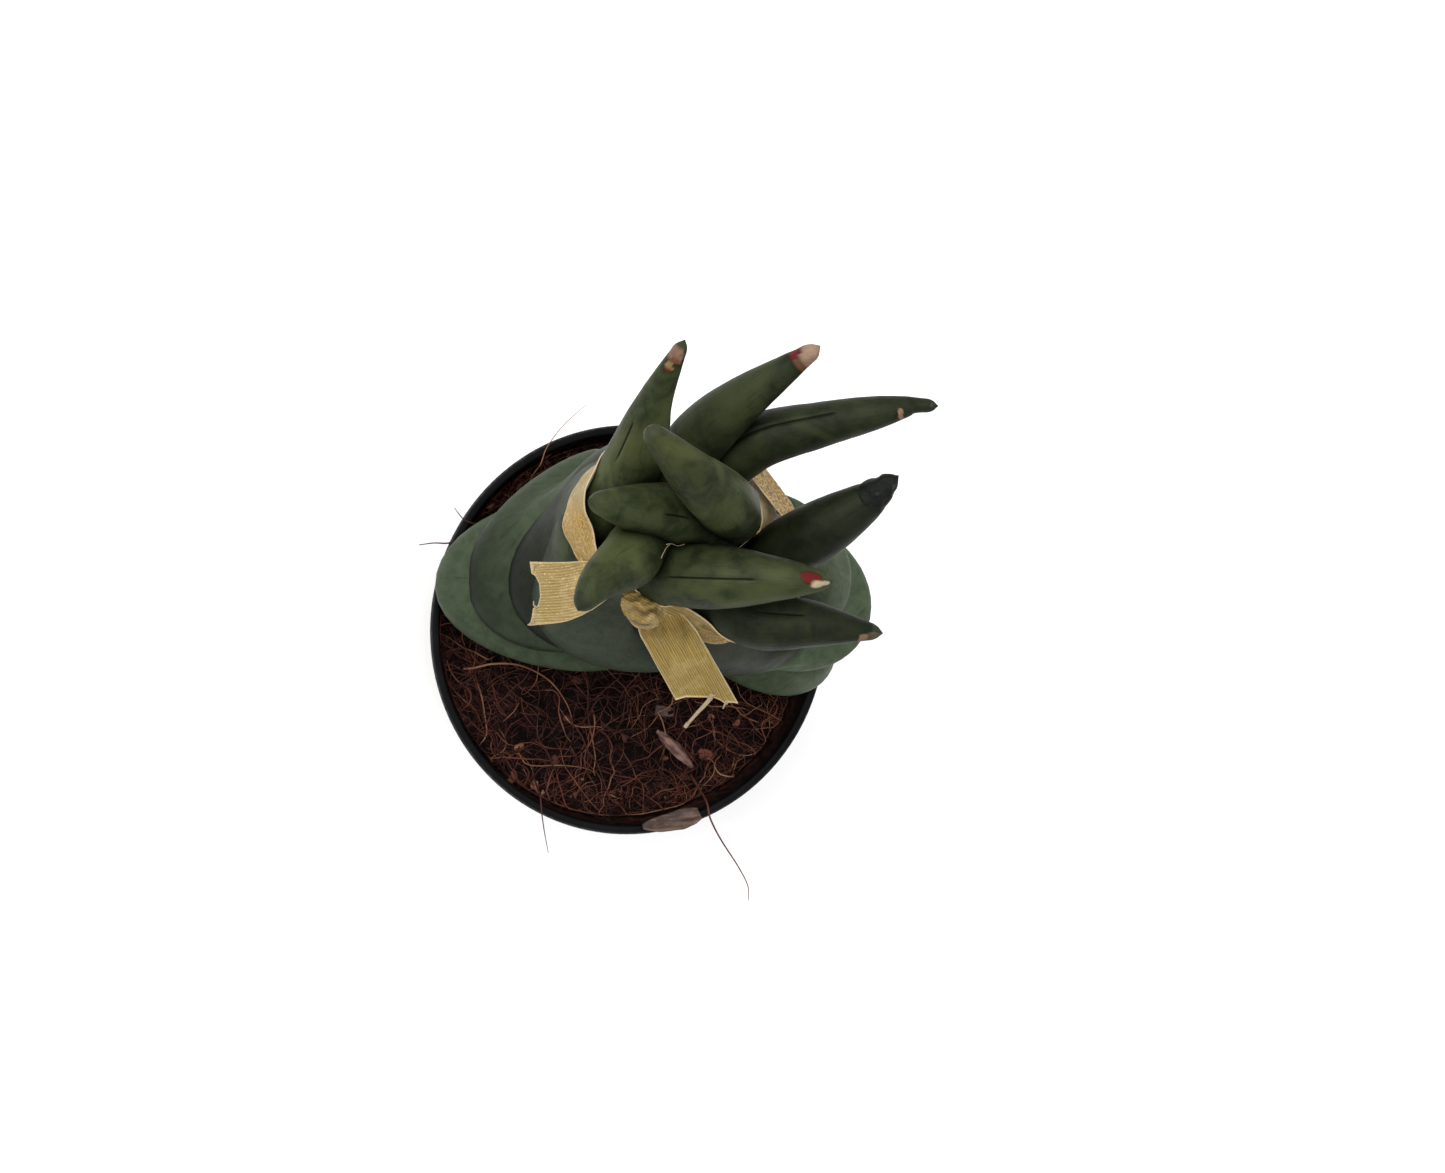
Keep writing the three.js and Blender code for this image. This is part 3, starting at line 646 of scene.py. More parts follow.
def set_attribute(mesh: bpy.types.Mesh, name: str, values: np.ndarray, kind: str = "FLOAT") -> None:
    """Stores one value, vector or colour for each vertex.

    Args:
        mesh: the mesh that takes it.
        name: the attribute's name.
        values: one row for each vertex.
        kind: Blender's type of the attribute.
    """
    key = {"FLOAT": "value", "FLOAT_VECTOR": "vector", "FLOAT_COLOR": "color"}[kind]
    made = mesh.attributes.new(name, kind, "POINT")
    made.data.foreach_set(key, np.asarray(values, np.float32).ravel())


def tube_faces(rings: int, around: int, closed: bool = False) -> Faces:
    """Four-sided faces between rings of points, with flat lids at both ends unless it is closed."""
    faces = []
    for i in range(rings if closed else rings - 1):
        for j in range(around):
            k = (j + 1) % around
            n = ((i + 1) % rings) * around
            faces.append([i * around + j, i * around + k, n + k, n + j])
    if not closed:
        faces.append(list(range(around))[::-1])
        faces.append([(rings - 1) * around + j for j in range(around)])
    return faces


def fanned_faces(rings: int, around: int) -> Faces:
    """Faces between rings, and a fan from each end ring to a point of its own, listed after the rings."""
    faces = tube_faces(rings, around)[:-2]
    first = rings * around
    top = first - around
    for j in range(around):
        k = (j + 1) % around
        faces.append([first, k, j])
        faces.append([first + 1, top + j, top + k])
    return faces


def tube(points: Sequence[Row], radius_at: Callable[[float], float], sides: int, per_span: int) -> Solid:
    """A round bar through points.

    Args:
        points: the line that it follows, in millimetres.
        radius_at: its radius at a share of the length.
        sides: how many sides its section has.
        per_span: steps between two points.

    Returns:
        Its vertices and faces.
    """
    path = smooth_rows(points, per_span)
    along = unit(np.gradient(path, axis=0))
    hint = np.where(np.abs(along[:, 2:3]) > 0.9, [[1.0, 0.0, 0.0]], [[0.0, 0.0, 1.0]])
    side = unit(np.cross(along, hint))
    up = np.cross(side, along)
    angle = -2 * np.pi * np.arange(sides) / sides
    share = np.linspace(0, 1, len(path))
    radius = np.array([radius_at(s) for s in share])[:, None, None]
    ring = side[:, None, :] * np.cos(angle)[None, :, None] + up[:, None, :] * np.sin(angle)[None, :, None]
    return (path[:, None, :] + radius * ring).reshape(-1, 3), tube_faces(len(path), sides)


def joined(parts: Sequence[Solid]) -> Solid:
    """Several solids' vertices and faces as one list of each."""
    vertices, faces, start = [], [], 0
    for points, corners in parts:
        vertices.append(points)
        faces += [[c + start for c in f] for f in corners]
        start += len(points)
    return np.vstack(vertices), faces


def bake_nodes(piece: bpy.types.Object, tree: bpy.types.NodeTree, sizes: dict) -> None:
    """Runs a Geometry Nodes tree on a piece and keeps the result as its plain mesh.

    Args:
        piece: the piece.
        tree: the tree, with named inputs.
        sizes: the value of each named input.
    """
    modifier = piece.modifiers.new("nodes", "NODES")
    modifier.node_group = tree
    for item in tree.interface.items_tree:
        if item.item_type == "SOCKET" and item.in_out == "INPUT" and item.name in sizes:
            modifier[item.identifier] = sizes[item.name]
    bpy.context.view_layer.update()
    graph = bpy.context.evaluated_depsgraph_get()
    result = bpy.data.meshes.new_from_object(piece.evaluated_get(graph))
    piece.modifiers.clear()
    old = piece.data
    piece.data = result
    result.name = piece.name
    bpy.data.meshes.remove(old)


def nodes_tree(name: str, floats: Sequence[str], whole: str) -> tuple[Graph, Field]:
    """An empty Geometry Nodes tree that takes a geometry, numbers and a material, and gives a geometry.

    Args:
        name: the tree's name.
        floats: the names of its numbers.
        whole: the name of its whole number.

    Returns:
        The graph, and its group input node with the geometry as its first output.
    """
    tree = bpy.data.node_groups.new(name, "GeometryNodeTree")
    tree.interface.new_socket("Geometry", in_out="OUTPUT", socket_type="NodeSocketGeometry")
    kinds = {"Geometry": "Geometry", **dict.fromkeys(floats, "Float"), whole: "Int",
             "Material": "Material"}
    for label, kind in kinds.items():
        tree.interface.new_socket(label, in_out="INPUT", socket_type="NodeSocket" + kind)
    g = Graph(tree)
    return g, g.node("NodeGroupInput", {}, {}, "Geometry")


def end_tree(g: Graph, geometry: Field, material: Field) -> bpy.types.NodeTree:
    """Ends a tree in Realize Instances and Set Material."""
    real = g.node("GeometryNodeRealizeInstances", {}, {"Geometry": geometry})
    dressed = g.node("GeometryNodeSetMaterial", {}, {"Geometry": real, "Material": material})
    g.node("NodeGroupOutput", {}, {"Geometry": dressed})
    return g.tree


@dataclass(frozen=True)
class Crease:
    """The groove along a blade: from and to in millimetres back from the tip, and the way it faces."""

    near: float
    far: float
    towards: Point
    depth: float = 0.3
    half_width: float = 0.45


@dataclass(frozen=True)
class TipMark:
    """A patch near a tip, all round or an oval on the side that it faces: most are dried or bruised skin, a
    few are painted highlights.

    Near and far are millimetres back from the leaf's end.
    """

    near: float
    far: float
    colour: Colour
    towards: Point | None = None
    reach: float = 0.2
    strength: float = 1.0


BROWN: Colour = (0.10, 0.045, 0.025)
TAN: Colour = (0.20, 0.125, 0.050)
CREAM: Colour = (0.34, 0.28, 0.185)
PINKISH: Colour = (0.180, 0.105, 0.072)
RED: Colour = (0.095, 0.004, 0.007)
OLIVE: Colour = (0.030, 0.035, 0.017)
WILTED: Colour = (0.0030, 0.0028, 0.0034)
# Grey of a dried tip, and on leaf_1 a painted highlight near the end.
GREY_TIP_AND_HIGHLIGHT: Colour = (0.075, 0.088, 0.060)
# A greener patch with a painted sheen on it.
BLUISH_SHEEN: Colour = (0.035, 0.055, 0.042)
# A painted glint.
MAUVE_GLINT: Colour = (0.10, 0.07, 0.085)
PALE_PINK: Colour = (0.270, 0.175, 0.125)
STRAW: Colour = (0.11, 0.085, 0.050)


@dataclass(frozen=True)
class LeafPlan:
    """One leaf: stations along it, in millimetres and degrees, and the marks of age on its blade, some of
    them painted highlights.

    A station is x, y, z, the way that the leaf's back faces, its half width, the depth of its channel and
    its thickness. Splay opens the flanks of the channel, and skew carries both its margins to one side.
    """

    name: str
    stations: tuple[Row, ...]
    creases: tuple[Crease, ...] = ()
    marks: tuple[TipMark, ...] = ()
    tan: float = 0.3
    # Dim is the blade's own darker tone.
    dim: float = 0.2
    # Painted shade on the clasping foot, deeper for the inner sheaths and in folds.
    foot_shade: float = 0.4
    shrivel: float = 0.0
    splay: float = 0.0
    skew: float = 0.0


@dataclass
class Leaf:
    """Builds one leaf from its plan."""

    plan: LeafPlan
    rows_per_span: int = 22
    half_sides: int = 36
    level_top: float = 148.0
    level_fade: float = 28.0
    margin_start: float = 0.968
    denser_at_margins: float = 1.4
    blunt_margin: float = 0.35
    curled_from: float = 0.25
    foot_from: float = 2.0
    foot_full: float = 9.0
    round_end: float = 2.4

    def _frames(self, rows: np.ndarray) -> tuple[np.ndarray, np.ndarray]:
        """The section's normal and its outward way at each row."""
        place = rows[:, :3]
        last = len(rows) - 1
        index = np.arange(len(rows))
        after, before = np.minimum(index + 1, last), np.maximum(index - 1, 0)
        along = unit(place[after] - place[before])
        level = np.clip((self.level_top - place[:, 2:3]) / self.level_fade, 0, 1)
        normal = unit(along * (1 - level) + np.array([[0.0, 0.0, 1.0]]) * level)
        azimuth = np.radians(rows[:, 3])
        out = np.stack([np.cos(azimuth), np.sin(azimuth), np.zeros_like(azimuth)], 1)
        return normal, across_to(out, normal)

    def _rows(self) -> tuple[np.ndarray, np.ndarray, np.ndarray]:
        """The leaf's fine rows, with the normal and the outward way at each."""
        normal, out = self._frames(smooth_rows(self.plan.stations, 2))
        finer = self.rows_per_span // 2
        normal = unit(smooth_rows(normal, finer))
        out = across_to(smooth_rows(out, finer), normal)
        return smooth_rows(self.plan.stations, self.rows_per_span), normal, out

    def _section(self, row: np.ndarray) -> tuple[np.ndarray, np.ndarray, np.ndarray]:
        """The section's points across and outward, with their place round it, -1 to 1 on each face."""
        half, channel, thick = np.maximum(row[4:7], (0.5, 0.0, 0.8))
        even = np.linspace(-1, 1, self.half_sides + 1)
        s = np.sign(even) * (1 - (1 - np.abs(even)) ** self.denser_at_margins)
        angle = s * np.pi / 2
        curl = min(1.0, channel / (self.curled_from * half))
        splay, carried = self.plan.splay, self.plan.skew * curl
        across = half * (np.sin(angle) + carried * (1 - np.cos(angle)))
        inward = -channel * ((1 - splay) * (1 - np.cos(angle)) + splay * np.sin(angle) ** 2)
        nx = channel * np.sin(angle) * (1 - splay + 2 * splay * np.cos(angle))
        ny = half * (np.cos(angle) + carried * np.sin(angle))
        length = np.hypot(nx, ny)
        length[length < 1e-9] = 1
        nx = nx / length * curl
        ny = ny / length * curl + (1 - curl)
        blunt = 1.0 - self.blunt_margin * curl
        width = thick / 2 * np.maximum(np.cos(angle), 0) ** blunt / np.hypot(nx, ny)
        back = np.stack([across + nx * width, inward + ny * width], 1)
        front = np.stack([across - nx * width, inward - ny * width], 1)[1:-1][::-1]
        s_all = np.concatenate([s, s[1:-1][::-1]])
        turn = np.concatenate([angle, np.pi - angle[1:-1][::-1]])
        return np.vstack([back, front]), s_all, turn

    def build(self, material: bpy.types.Material) -> bpy.types.Object:
        """Makes the leaf's mesh with the attributes that its skin reads.

        Args:
            material: the leaf skin.

        Returns:
            The leaf.
        """
        rows, normal, out = self._rows()
        side = np.cross(normal, out)
        steps = np.linalg.norm(np.diff(rows[:, :3], axis=0), axis=1)
        run = np.concatenate([[0], np.cumsum(steps)])
        back = run[-1] - run
        around = 2 * self.half_sides
        points, grain = np.zeros((2, len(rows), around, 3))
        tint = np.zeros((len(rows), around, 4))
        keys = ("foot", "margin", "crease", "groove", "tinted", "tan", "dim")
        values = {key: np.zeros((len(rows), around)) for key in keys}
        for i, row in enumerate(rows):
            flat, s, turn = self._section(row)
            if row[5] < 1:
                short = 1 - min(1.0, (back[i] + 0.2) / self.round_end)
                flat = flat * math.sqrt(1 - short ** 2)
            ring = row[:3] + flat[:, :1] * side[i] + flat[:, 1:] * out[i]
            centre = ring.mean(0)
            ray = unit(ring - centre)
            offset, strength, sunk = self._sunk(back[i], ring - centre, side[i], out[i])
            ring = ring - ray * sunk[:, None]
            dry = self._tinted(back[i], ray, ring, tint[i], values["tinted"][i])
            points[i] = ring + ray * self._unevenness(ring, row, dry)[:, None]
            foot = min(1.0, max(row[5] - self.foot_from, 0) / (self.foot_full - self.foot_from))
            at_margin = np.clip((np.abs(s) - self.margin_start) / (1 - self.margin_start), 0, 1)
            values["groove"][i] = offset
            values["crease"][i] = strength
            values["foot"][i] = foot
            # Pale margin, partly a painted highlight on the lit rim.
            values["margin"][i] = foot * at_margin
            values["tan"][i] = self.plan.tan * (1 - foot)
            # The blade's own darker tone, and painted shade on the foot.
            values["dim"][i] = self.plan.dim * (1 - foot) + self.plan.foot_shade * foot
            grain[i] = np.stack([np.cos(turn), np.sin(turn), np.full(around, run[i] / 10)], 1)
        ends = [points[0].mean(0), points[-1].mean(0) + 0.6 * unit(rows[-1, :3] - rows[-3, :3])]
        mesh = mesh_of(np.vstack([points.reshape(-1, 3), ends]), fanned_faces(len(rows), around))
        for key, value in {**values, "grain": grain, "tint": tint}.items():
            kind = {"grain": "FLOAT_VECTOR", "tint": "FLOAT_COLOR"}.get(key, "FLOAT")
            set_attribute(mesh, key, np.concatenate([*value, value[0, :1], value[-1, :1]]), kind)
        return add_object(self.plan.name + "_finish", mesh, material)

    def _sunk(self, back: float, arm: np.ndarray, side: np.ndarray,
              out: np.ndarray) -> tuple[np.ndarray, float, np.ndarray]:
        """The groove at one ring.

        Args:
            back: how far the ring is from the tip.
            arm: each point, seen from the ring's middle.
            side: the way across the leaf.
            out: the way out of its back.

        Returns:
            How far each point is from the groove along the ring, how strong it is here, and how deep it
            presses each point in, in millimetres.
        """
        offset, strength, sunk = np.full(len(arm), 9.0), 0.0, np.zeros(len(arm))
        for groove in self.plan.creases:
            fade = float(np.clip(min(back - groove.near, (groove.far - back) / 2.5), 0, 1))
            if fade <= 0:
                continue
            towards = np.array(groove.towards)
            a, b = unit(np.array([towards @ side, towards @ out]))
            way, across = a * side + b * out, a * out - b * side
            offset = np.arctan2(arm @ across, arm @ way) * np.linalg.norm(arm, axis=1)
            strength = fade
            sunk = groove.depth * fade * np.exp(-(offset / groove.half_width) ** 2)
        return offset, strength, sunk

    def _tinted(self, back: float, ray: np.ndarray, ring: np.ndarray, tint: np.ndarray,
                tinted: np.ndarray) -> np.ndarray:
        """Lays the tip's marks on a ring.

        Args:
            back: how far the ring is from the tip.
            ray: the way out at each point.
            ring: the points.
            tint: takes each point's colour.
            tinted: takes how far that colour covers the skin.

        Returns:
            The last of these, which also says how dry each point is.
        """
        tint[:, 3] = 1
        for mark in self.plan.marks:
            if back > mark.far + 1:
                continue
            middle, half = (mark.near + mark.far) / 2, (mark.far - mark.near) / 2
            for j, way in enumerate(ray):
                reach = back + (0.3 if mark.towards else 0.6) * bumps(ring[j], 1.1, mark.far)
                if mark.towards is None:
                    share = np.clip((half - abs(reach - middle)) / 0.45 + 0.5, 0, 1)
                else:
                    narrow = math.sqrt(max(0.0, 1 - ((reach - middle) / half) ** 2))
                    lean = way @ unit(np.array(mark.towards)) + 0.04 * bumps(ring[j], 1.3, mark.near)
                    share = np.clip((lean - 1 + (1 - mark.reach) * narrow) / 0.06, 0, 1) if narrow else 0.0
                share = share * mark.strength
                tint[j, :3] = tint[j, :3] * (1 - share) + np.array(mark.colour) * share
                tinted[j] = max(tinted[j], share)
        return tinted

    def _unevenness(self, ring: np.ndarray, row: np.ndarray, dry: np.ndarray) -> np.ndarray:
        """The soft unevenness of a grown leaf, stronger where it has shrivelled."""
        soft = 0.10 if row[5] > 2 else 0.16
        out = np.array([soft * bumps(p, 9.0, 3.1) + 0.05 * bumps(p, 2.6, 7.7) for p in ring])
        if self.plan.shrivel:
            fold = np.array([bumps(p * [1, 1, 0.6], 1.7, 5.2) for p in ring])
            out = out + self.plan.shrivel * fold * dry
        return out


@dataclass(frozen=True)
class Tie:
    """The ring on which the leaves' middles stand where the ribbon gathers them, in millimetres."""

    x: float = -5.5
    y: float = 21.5
    half_x: float = 20.5
    half_y: float = 13.0

    def station(self, azimuth: float, share: float, half: float, thick: float,
                faces: float, z: float) -> Row:
        """Where a leaf passes through the tie."""
        angle = math.radians(azimuth)
        x = self.x + self.half_x * share * math.cos(angle)
        y = self.y + self.half_y * share * math.sin(angle)
        return x, y, z, faces, half, 0, thick


TIE = Tie()

LEAF_PLANS = (
    LeafPlan("leaf_9", (
        (-4, 16, 69, 190, 8, 4, 5), (-8, 16, 100, 190, 10, 6, 6), (-12, 19, 130, 190, 8, 2, 9),
        (-14.5, 21.2, 155, 200, 6.4, 0, 12.4), (-19.3, 19.9, 164, 205, 6.6, 0, 12.8),
        (-23.8, 16.6, 170.5, 215, 6.4, 0, 12.2), (-31.5, 12, 176, 215, 4.2, 0, 8),
        (-36.3, 6.5, 179, 215, 1.8, 0, 3.6)),
        marks=(TipMark(-1, 2.4, GREY_TIP_AND_HIGHLIGHT, strength=0.3),), tan=0.25, dim=0.12, foot_shade=0.6),
    LeafPlan("leaf_5", (
        (4, 15, 69, 0, 8, 4, 5), (9, 14, 100, 0, 11, 8, 6), (9, 18, 130, 0, 8, 3, 9),
        (2, 22.5, 152, 0, 6.2, 0, 12), (-3, 25.5, 161, 10, 6.6, 0, 12.6), (-14, 27, 168, 10, 6.4, 0, 12.4),
        (-25, 27.8, 174, 10, 4.6, 0, 9), (-33.5, 28.8, 177, 10, 1.7, 0, 3.6)),
        creases=(Crease(14.8, 23, (-0.309, -0.1, 0.951), 0.2),), tan=0.5, dim=0.08, foot_shade=0.7),
    LeafPlan("leaf_1", (
        (0, 25, 69, 90, 10, 2, 5), (1, 29, 100, 90, 13, 3, 7), (1, 33, 130, 85, 9.5, 2, 9),
        (1, 36, 153, 72, 6, 0, 11.4), (8, 43, 163, 80, 6.4, 0, 12.4), (20, 46.5, 171, 80, 5.2, 0, 10),
        (30, 48.8, 177, 80, 3.8, 0, 7.4), (36, 50, 180, 80, 2.4, 0, 4.8),
        (38, 50.3, 180.7, 80, 1.8, 0, 3.6), (42.3, 50.2, 182, 80, 1.5, 0, 3)),
        creases=(Crease(21, 46, (-0.309, 0.32, 0.951), 0.35),),
        marks=(TipMark(7.2, 8.6, PINKISH, (-0.3, -0.55, 0.6), 0.8),
               # The pale mark near the end is a painted highlight.
               TipMark(0.6, 1.6, GREY_TIP_AND_HIGHLIGHT, (-0.3, 0.2, 0.9), 0.8, 0.6)),
        tan=0.3, dim=0.66, foot_shade=0.6, shrivel=0.35),
    LeafPlan("leaf_7", (
        (-9, 14, 69, 190, 13, 12, 5), (-24, 8, 105, 190, 18.5, 28, 6), (-30.5, 7, 124, 190, 19, 30, 7),
        (-25.5, 11.5, 140, 214, 14, 6, 9), TIE.station(228, 0.76, 6.4, 12, 235, 154),
        (-13, 13.6, 161, 250, 6.6, 0, 13), (-4, 13.1, 171, 260, 7.2, 0, 14),
        (8, 12.6, 180, 265, 4.8, 0, 9), (17.2, 12.1, 184, 265, 1.4, 0, 3.0)),
        creases=(Crease(14.4, 34.5, (-0.309, -0.05, 0.951), 0.3),),
        marks=(TipMark(1.9, 6.2, RED, (-0.3, 0.2, 0.9), 0.86),
               TipMark(0.0, 4.4, CREAM, (-0.35, -0.3, 0.88), 0.9)),
        tan=0.9, dim=0.34, foot_shade=0.62, splay=0.2),
    LeafPlan("leaf_4", (
        (12, 15, 69, -5, 13, 12, 5), (29, 10, 104, -14, 19, 27, 6), (41, 12, 122, -8, 17.5, 20, 8),
        (36, 14, 130, 2, 13, 9, 8.5), (16, 22.5, 141, 10, 7.4, 2, 9), (6.8, 25.5, 152, 28, 6, 0, 11),
        (2, 27.2, 163, 35, 6.7, 0, 13), (-4.5, 29.4, 176, 40, 6.9, 0, 13.2),
        (-14, 34, 186, 40, 5.4, 0, 10.4), (-26, 42.4, 195, 40, 2, 0, 3.8)),
        marks=(TipMark(-1, 1.6, GREY_TIP_AND_HIGHLIGHT, strength=0.5),),
        tan=0.35, dim=0.24, foot_shade=0.0, splay=0.2, skew=0.1),
    LeafPlan("leaf_3", (
        (-16, 14, 69, 188, 15, 12, 5), (-28, 12, 100, 188, 20, 24, 5.5), (-34, 11, 113, 188, 21, 26, 6.5),
        (-25, 28, 131, 165, 12.5, 6, 9), TIE.station(150, 1.05, 6.4, 12, 145, 155),
        (-20.5, 39.5, 166, 120, 6.4, 0, 12.6), (-19.5, 50, 177, 110, 3.8, 0, 7.4),
        (-16.5, 61, 188, 110, 1.2, 0, 2.4)),
        creases=(Crease(20, 32, (-0.75, 0.0, 0.66), 0.3),),
        marks=(TipMark(-1, 1.7, OLIVE), TipMark(1.0, 4.6, PINKISH, (-0.5, 0.1, 0.8), 0.1),
               TipMark(3.6, 4.8, BROWN, (-0.4, -0.2, 0.8), 0.4),
               TipMark(4.8, 6.6, TAN, (-0.4, 0.0, 0.9), 0.66),
               TipMark(6.4, 7.2, RED, (-0.4, 0.0, 0.9), 0.7)),
        tan=0.45, dim=0.12, foot_shade=0.82, shrivel=0.2, splay=0.4, skew=-0.14),
    LeafPlan("leaf_6", (
        (18, 13, 69, -15, 14, 10, 5), (34, 6.5, 98, -18, 16.5, 26, 5.5),
        (44.5, 4.5, 114, -18, 15.5, 29, 6.5), (31, 0, 122, -60, 11, 5, 7),
        (22.5, 2, 133, -55, 8.5, 2, 9), (17.5, 9.5, 146, -40, 7, 0, 11),
        TIE.station(-18, 1.0, 6.6, 12.4, -22, 157), (19.6, 22.8, 168, -40, 7, 0, 13.6),
        (27.2, 29, 177, -40, 4.6, 0, 9), (32.7, 34.6, 183, -40, 1.5, 0, 3.0)),
        # The greener patch at the end carries a painted sheen.
        marks=(TipMark(-1, 8.0, WILTED), TipMark(0.4, 2.4, BLUISH_SHEEN, (0.35, 0.0, 0.85), 0.6),
               # A painted glint.
               TipMark(4.2, 5.1, MAUVE_GLINT, (-0.3, 0.0, 0.9), 0.9)),
        tan=0.15, dim=0.78, foot_shade=0.05, shrivel=0.45, splay=0.2),
    LeafPlan("leaf_2", (
        (-23, 13, 69, 188, 17, 12, 5), (-34, 13, 90, 185, 21, 28, 5), (-42, 13, 106, 182, 23, 32, 6),
        (-15, 40.5, 124, 115, 13, 5, 8), TIE.station(108, 1.0, 6.4, 12, 108, 154),
        (-5, 44, 163, 110, 6.8, 0, 13), (2.5, 52, 172, 110, 5, 0, 9.8),
        (14.5, 61.6, 183.5, 110, 1.5, 0, 3.2)),
        marks=(TipMark(-1, 4.8, PALE_PINK), TipMark(0.2, 1.6, OLIVE, (0.5, -0.3, 0.7), 0.75),
               TipMark(3.4, 5.6, RED, (-0.5, 0.5, 0.7), 0.35),
               TipMark(4.4, 5.6, BROWN, (-0.1, -0.6, 0.7), 0.4)),
        tan=0.4, dim=0.58, foot_shade=0.40, shrivel=0.2, splay=0.2, skew=-0.3),
    LeafPlan("leaf_8", (
        (24, 11, 69, -20, 15, 10, 5), (38, 6, 90, -16, 17, 24, 5), (46.5, 4, 106, -16, 18, 25, 5.6),
        (51, 3, 115.5, -15, 18, 25, 6), (24, -6.5, 121, -70, 11, 3.5, 6), (7, -3.5, 134, -85, 8, 2, 9),
        TIE.station(-72, 1.0, 6.4, 12, -72, 153), (8, 3.6, 162, -80, 6.8, 0, 13),
        (20, 2.8, 167, -80, 5.0, 0, 10), (34.4, 0.8, 170, -80, 1.4, 0, 3.0)),
        creases=(Crease(17, 28, (-0.309, 0.35, 0.9), 0.25),),
        marks=(TipMark(-1, 2.4, GREY_TIP_AND_HIGHLIGHT, strength=0.5),
               TipMark(-0.5, 3.6, STRAW, (-0.1, -0.6, 0.5), 0.6, 0.7),
               TipMark(3.2, 5.4, PINKISH, (-0.3, -0.6, 0.55), 0.84)),
        tan=0.2, dim=0.72, foot_shade=0.05, skew=0.1),
    LeafPlan("basal_leaf_left", (
        (-30, 12, 69, 185, 17, 14, 5), (-40, 11.5, 84, 184, 20, 34, 5.5),
        (-45.5, 11, 90.5, 184, 20.5, 38, 5.6), (-49, 11, 95.5, 184, 22, 40, 6.5),
        (-48, 12, 100, 184, 17, 31, 5.5), (-44.5, 13, 104.5, 184, 8, 12, 2.5)),
        foot_shade=0.35, splay=0.3, skew=0.05),
    LeafPlan("basal_leaf_right", (
        (30, 10, 69, -25, 14, 10, 5), (41, -5, 84, -36, 14.5, 19, 6), (47.5, -11, 93, -38, 13.5, 19, 6),
        (47, -9, 101, -38, 8.5, 11, 5), (42.5, -7, 107, -36, 2.5, 2, 2)), foot_shade=0.2, splay=0.1),
)


@dataclass
class Leaves:
    """All the leaves of the plant, from the innermost out."""

    skin: LeafSkin = field(default_factory=LeafSkin)
    tie_height: float = 0.140
    foot_reach: float = 0.012
    blade_reach: float = 0.0032

    def build(self) -> list[bpy.types.Object]:
        """Makes each leaf over its solid.

        Returns:
            The leaves.
        """
        material = self.skin.material()
        made = []
        for plan in LEAF_PLANS:
            piece = Leaf(plan).build(material)
            settle(piece, "leaf", plan.name)
            made.append(piece)
        self._mark_contact_shade(made)
        return made

    def _mark_contact_shade(self, leaves: Sequence[bpy.types.Object]) -> None:
        """Stores how near each point is to another leaf, one further out at the feet and any at the blades,
        which the skin paints as shade.
        """
        trees = [surface_of([leaf]) for leaf in leaves]
        for i, leaf in enumerate(leaves):
            near = np.zeros(len(leaf.data.vertices))
            outer, others = trees[i + 1:], trees[:i] + trees[i + 1:]
            for k, vertex in enumerate(leaf.data.vertices):
                high = vertex.co.z > self.tie_height
                reach = self.blade_reach if high else self.foot_reach
                for tree in (others if high else outer):
                    _, _, _, distance = tree.find_nearest(vertex.co, reach)
                    if distance is not None:
                        near[k] = max(near[k], 1 - distance / reach)
            set_attribute(leaf.data, "contact_shade", near)


def settle(piece: bpy.types.Object, slot: str, *nodes: str) -> None:
    """Rides a piece on the body, hides the solids that it stands for, and reports it with them."""
    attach(piece, BODY)
    if nodes:
        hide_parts(*nodes)
    log.info("%s: %d faces, for %s", piece.name, len(piece.data.polygons), ", ".join(nodes) or "no solid")


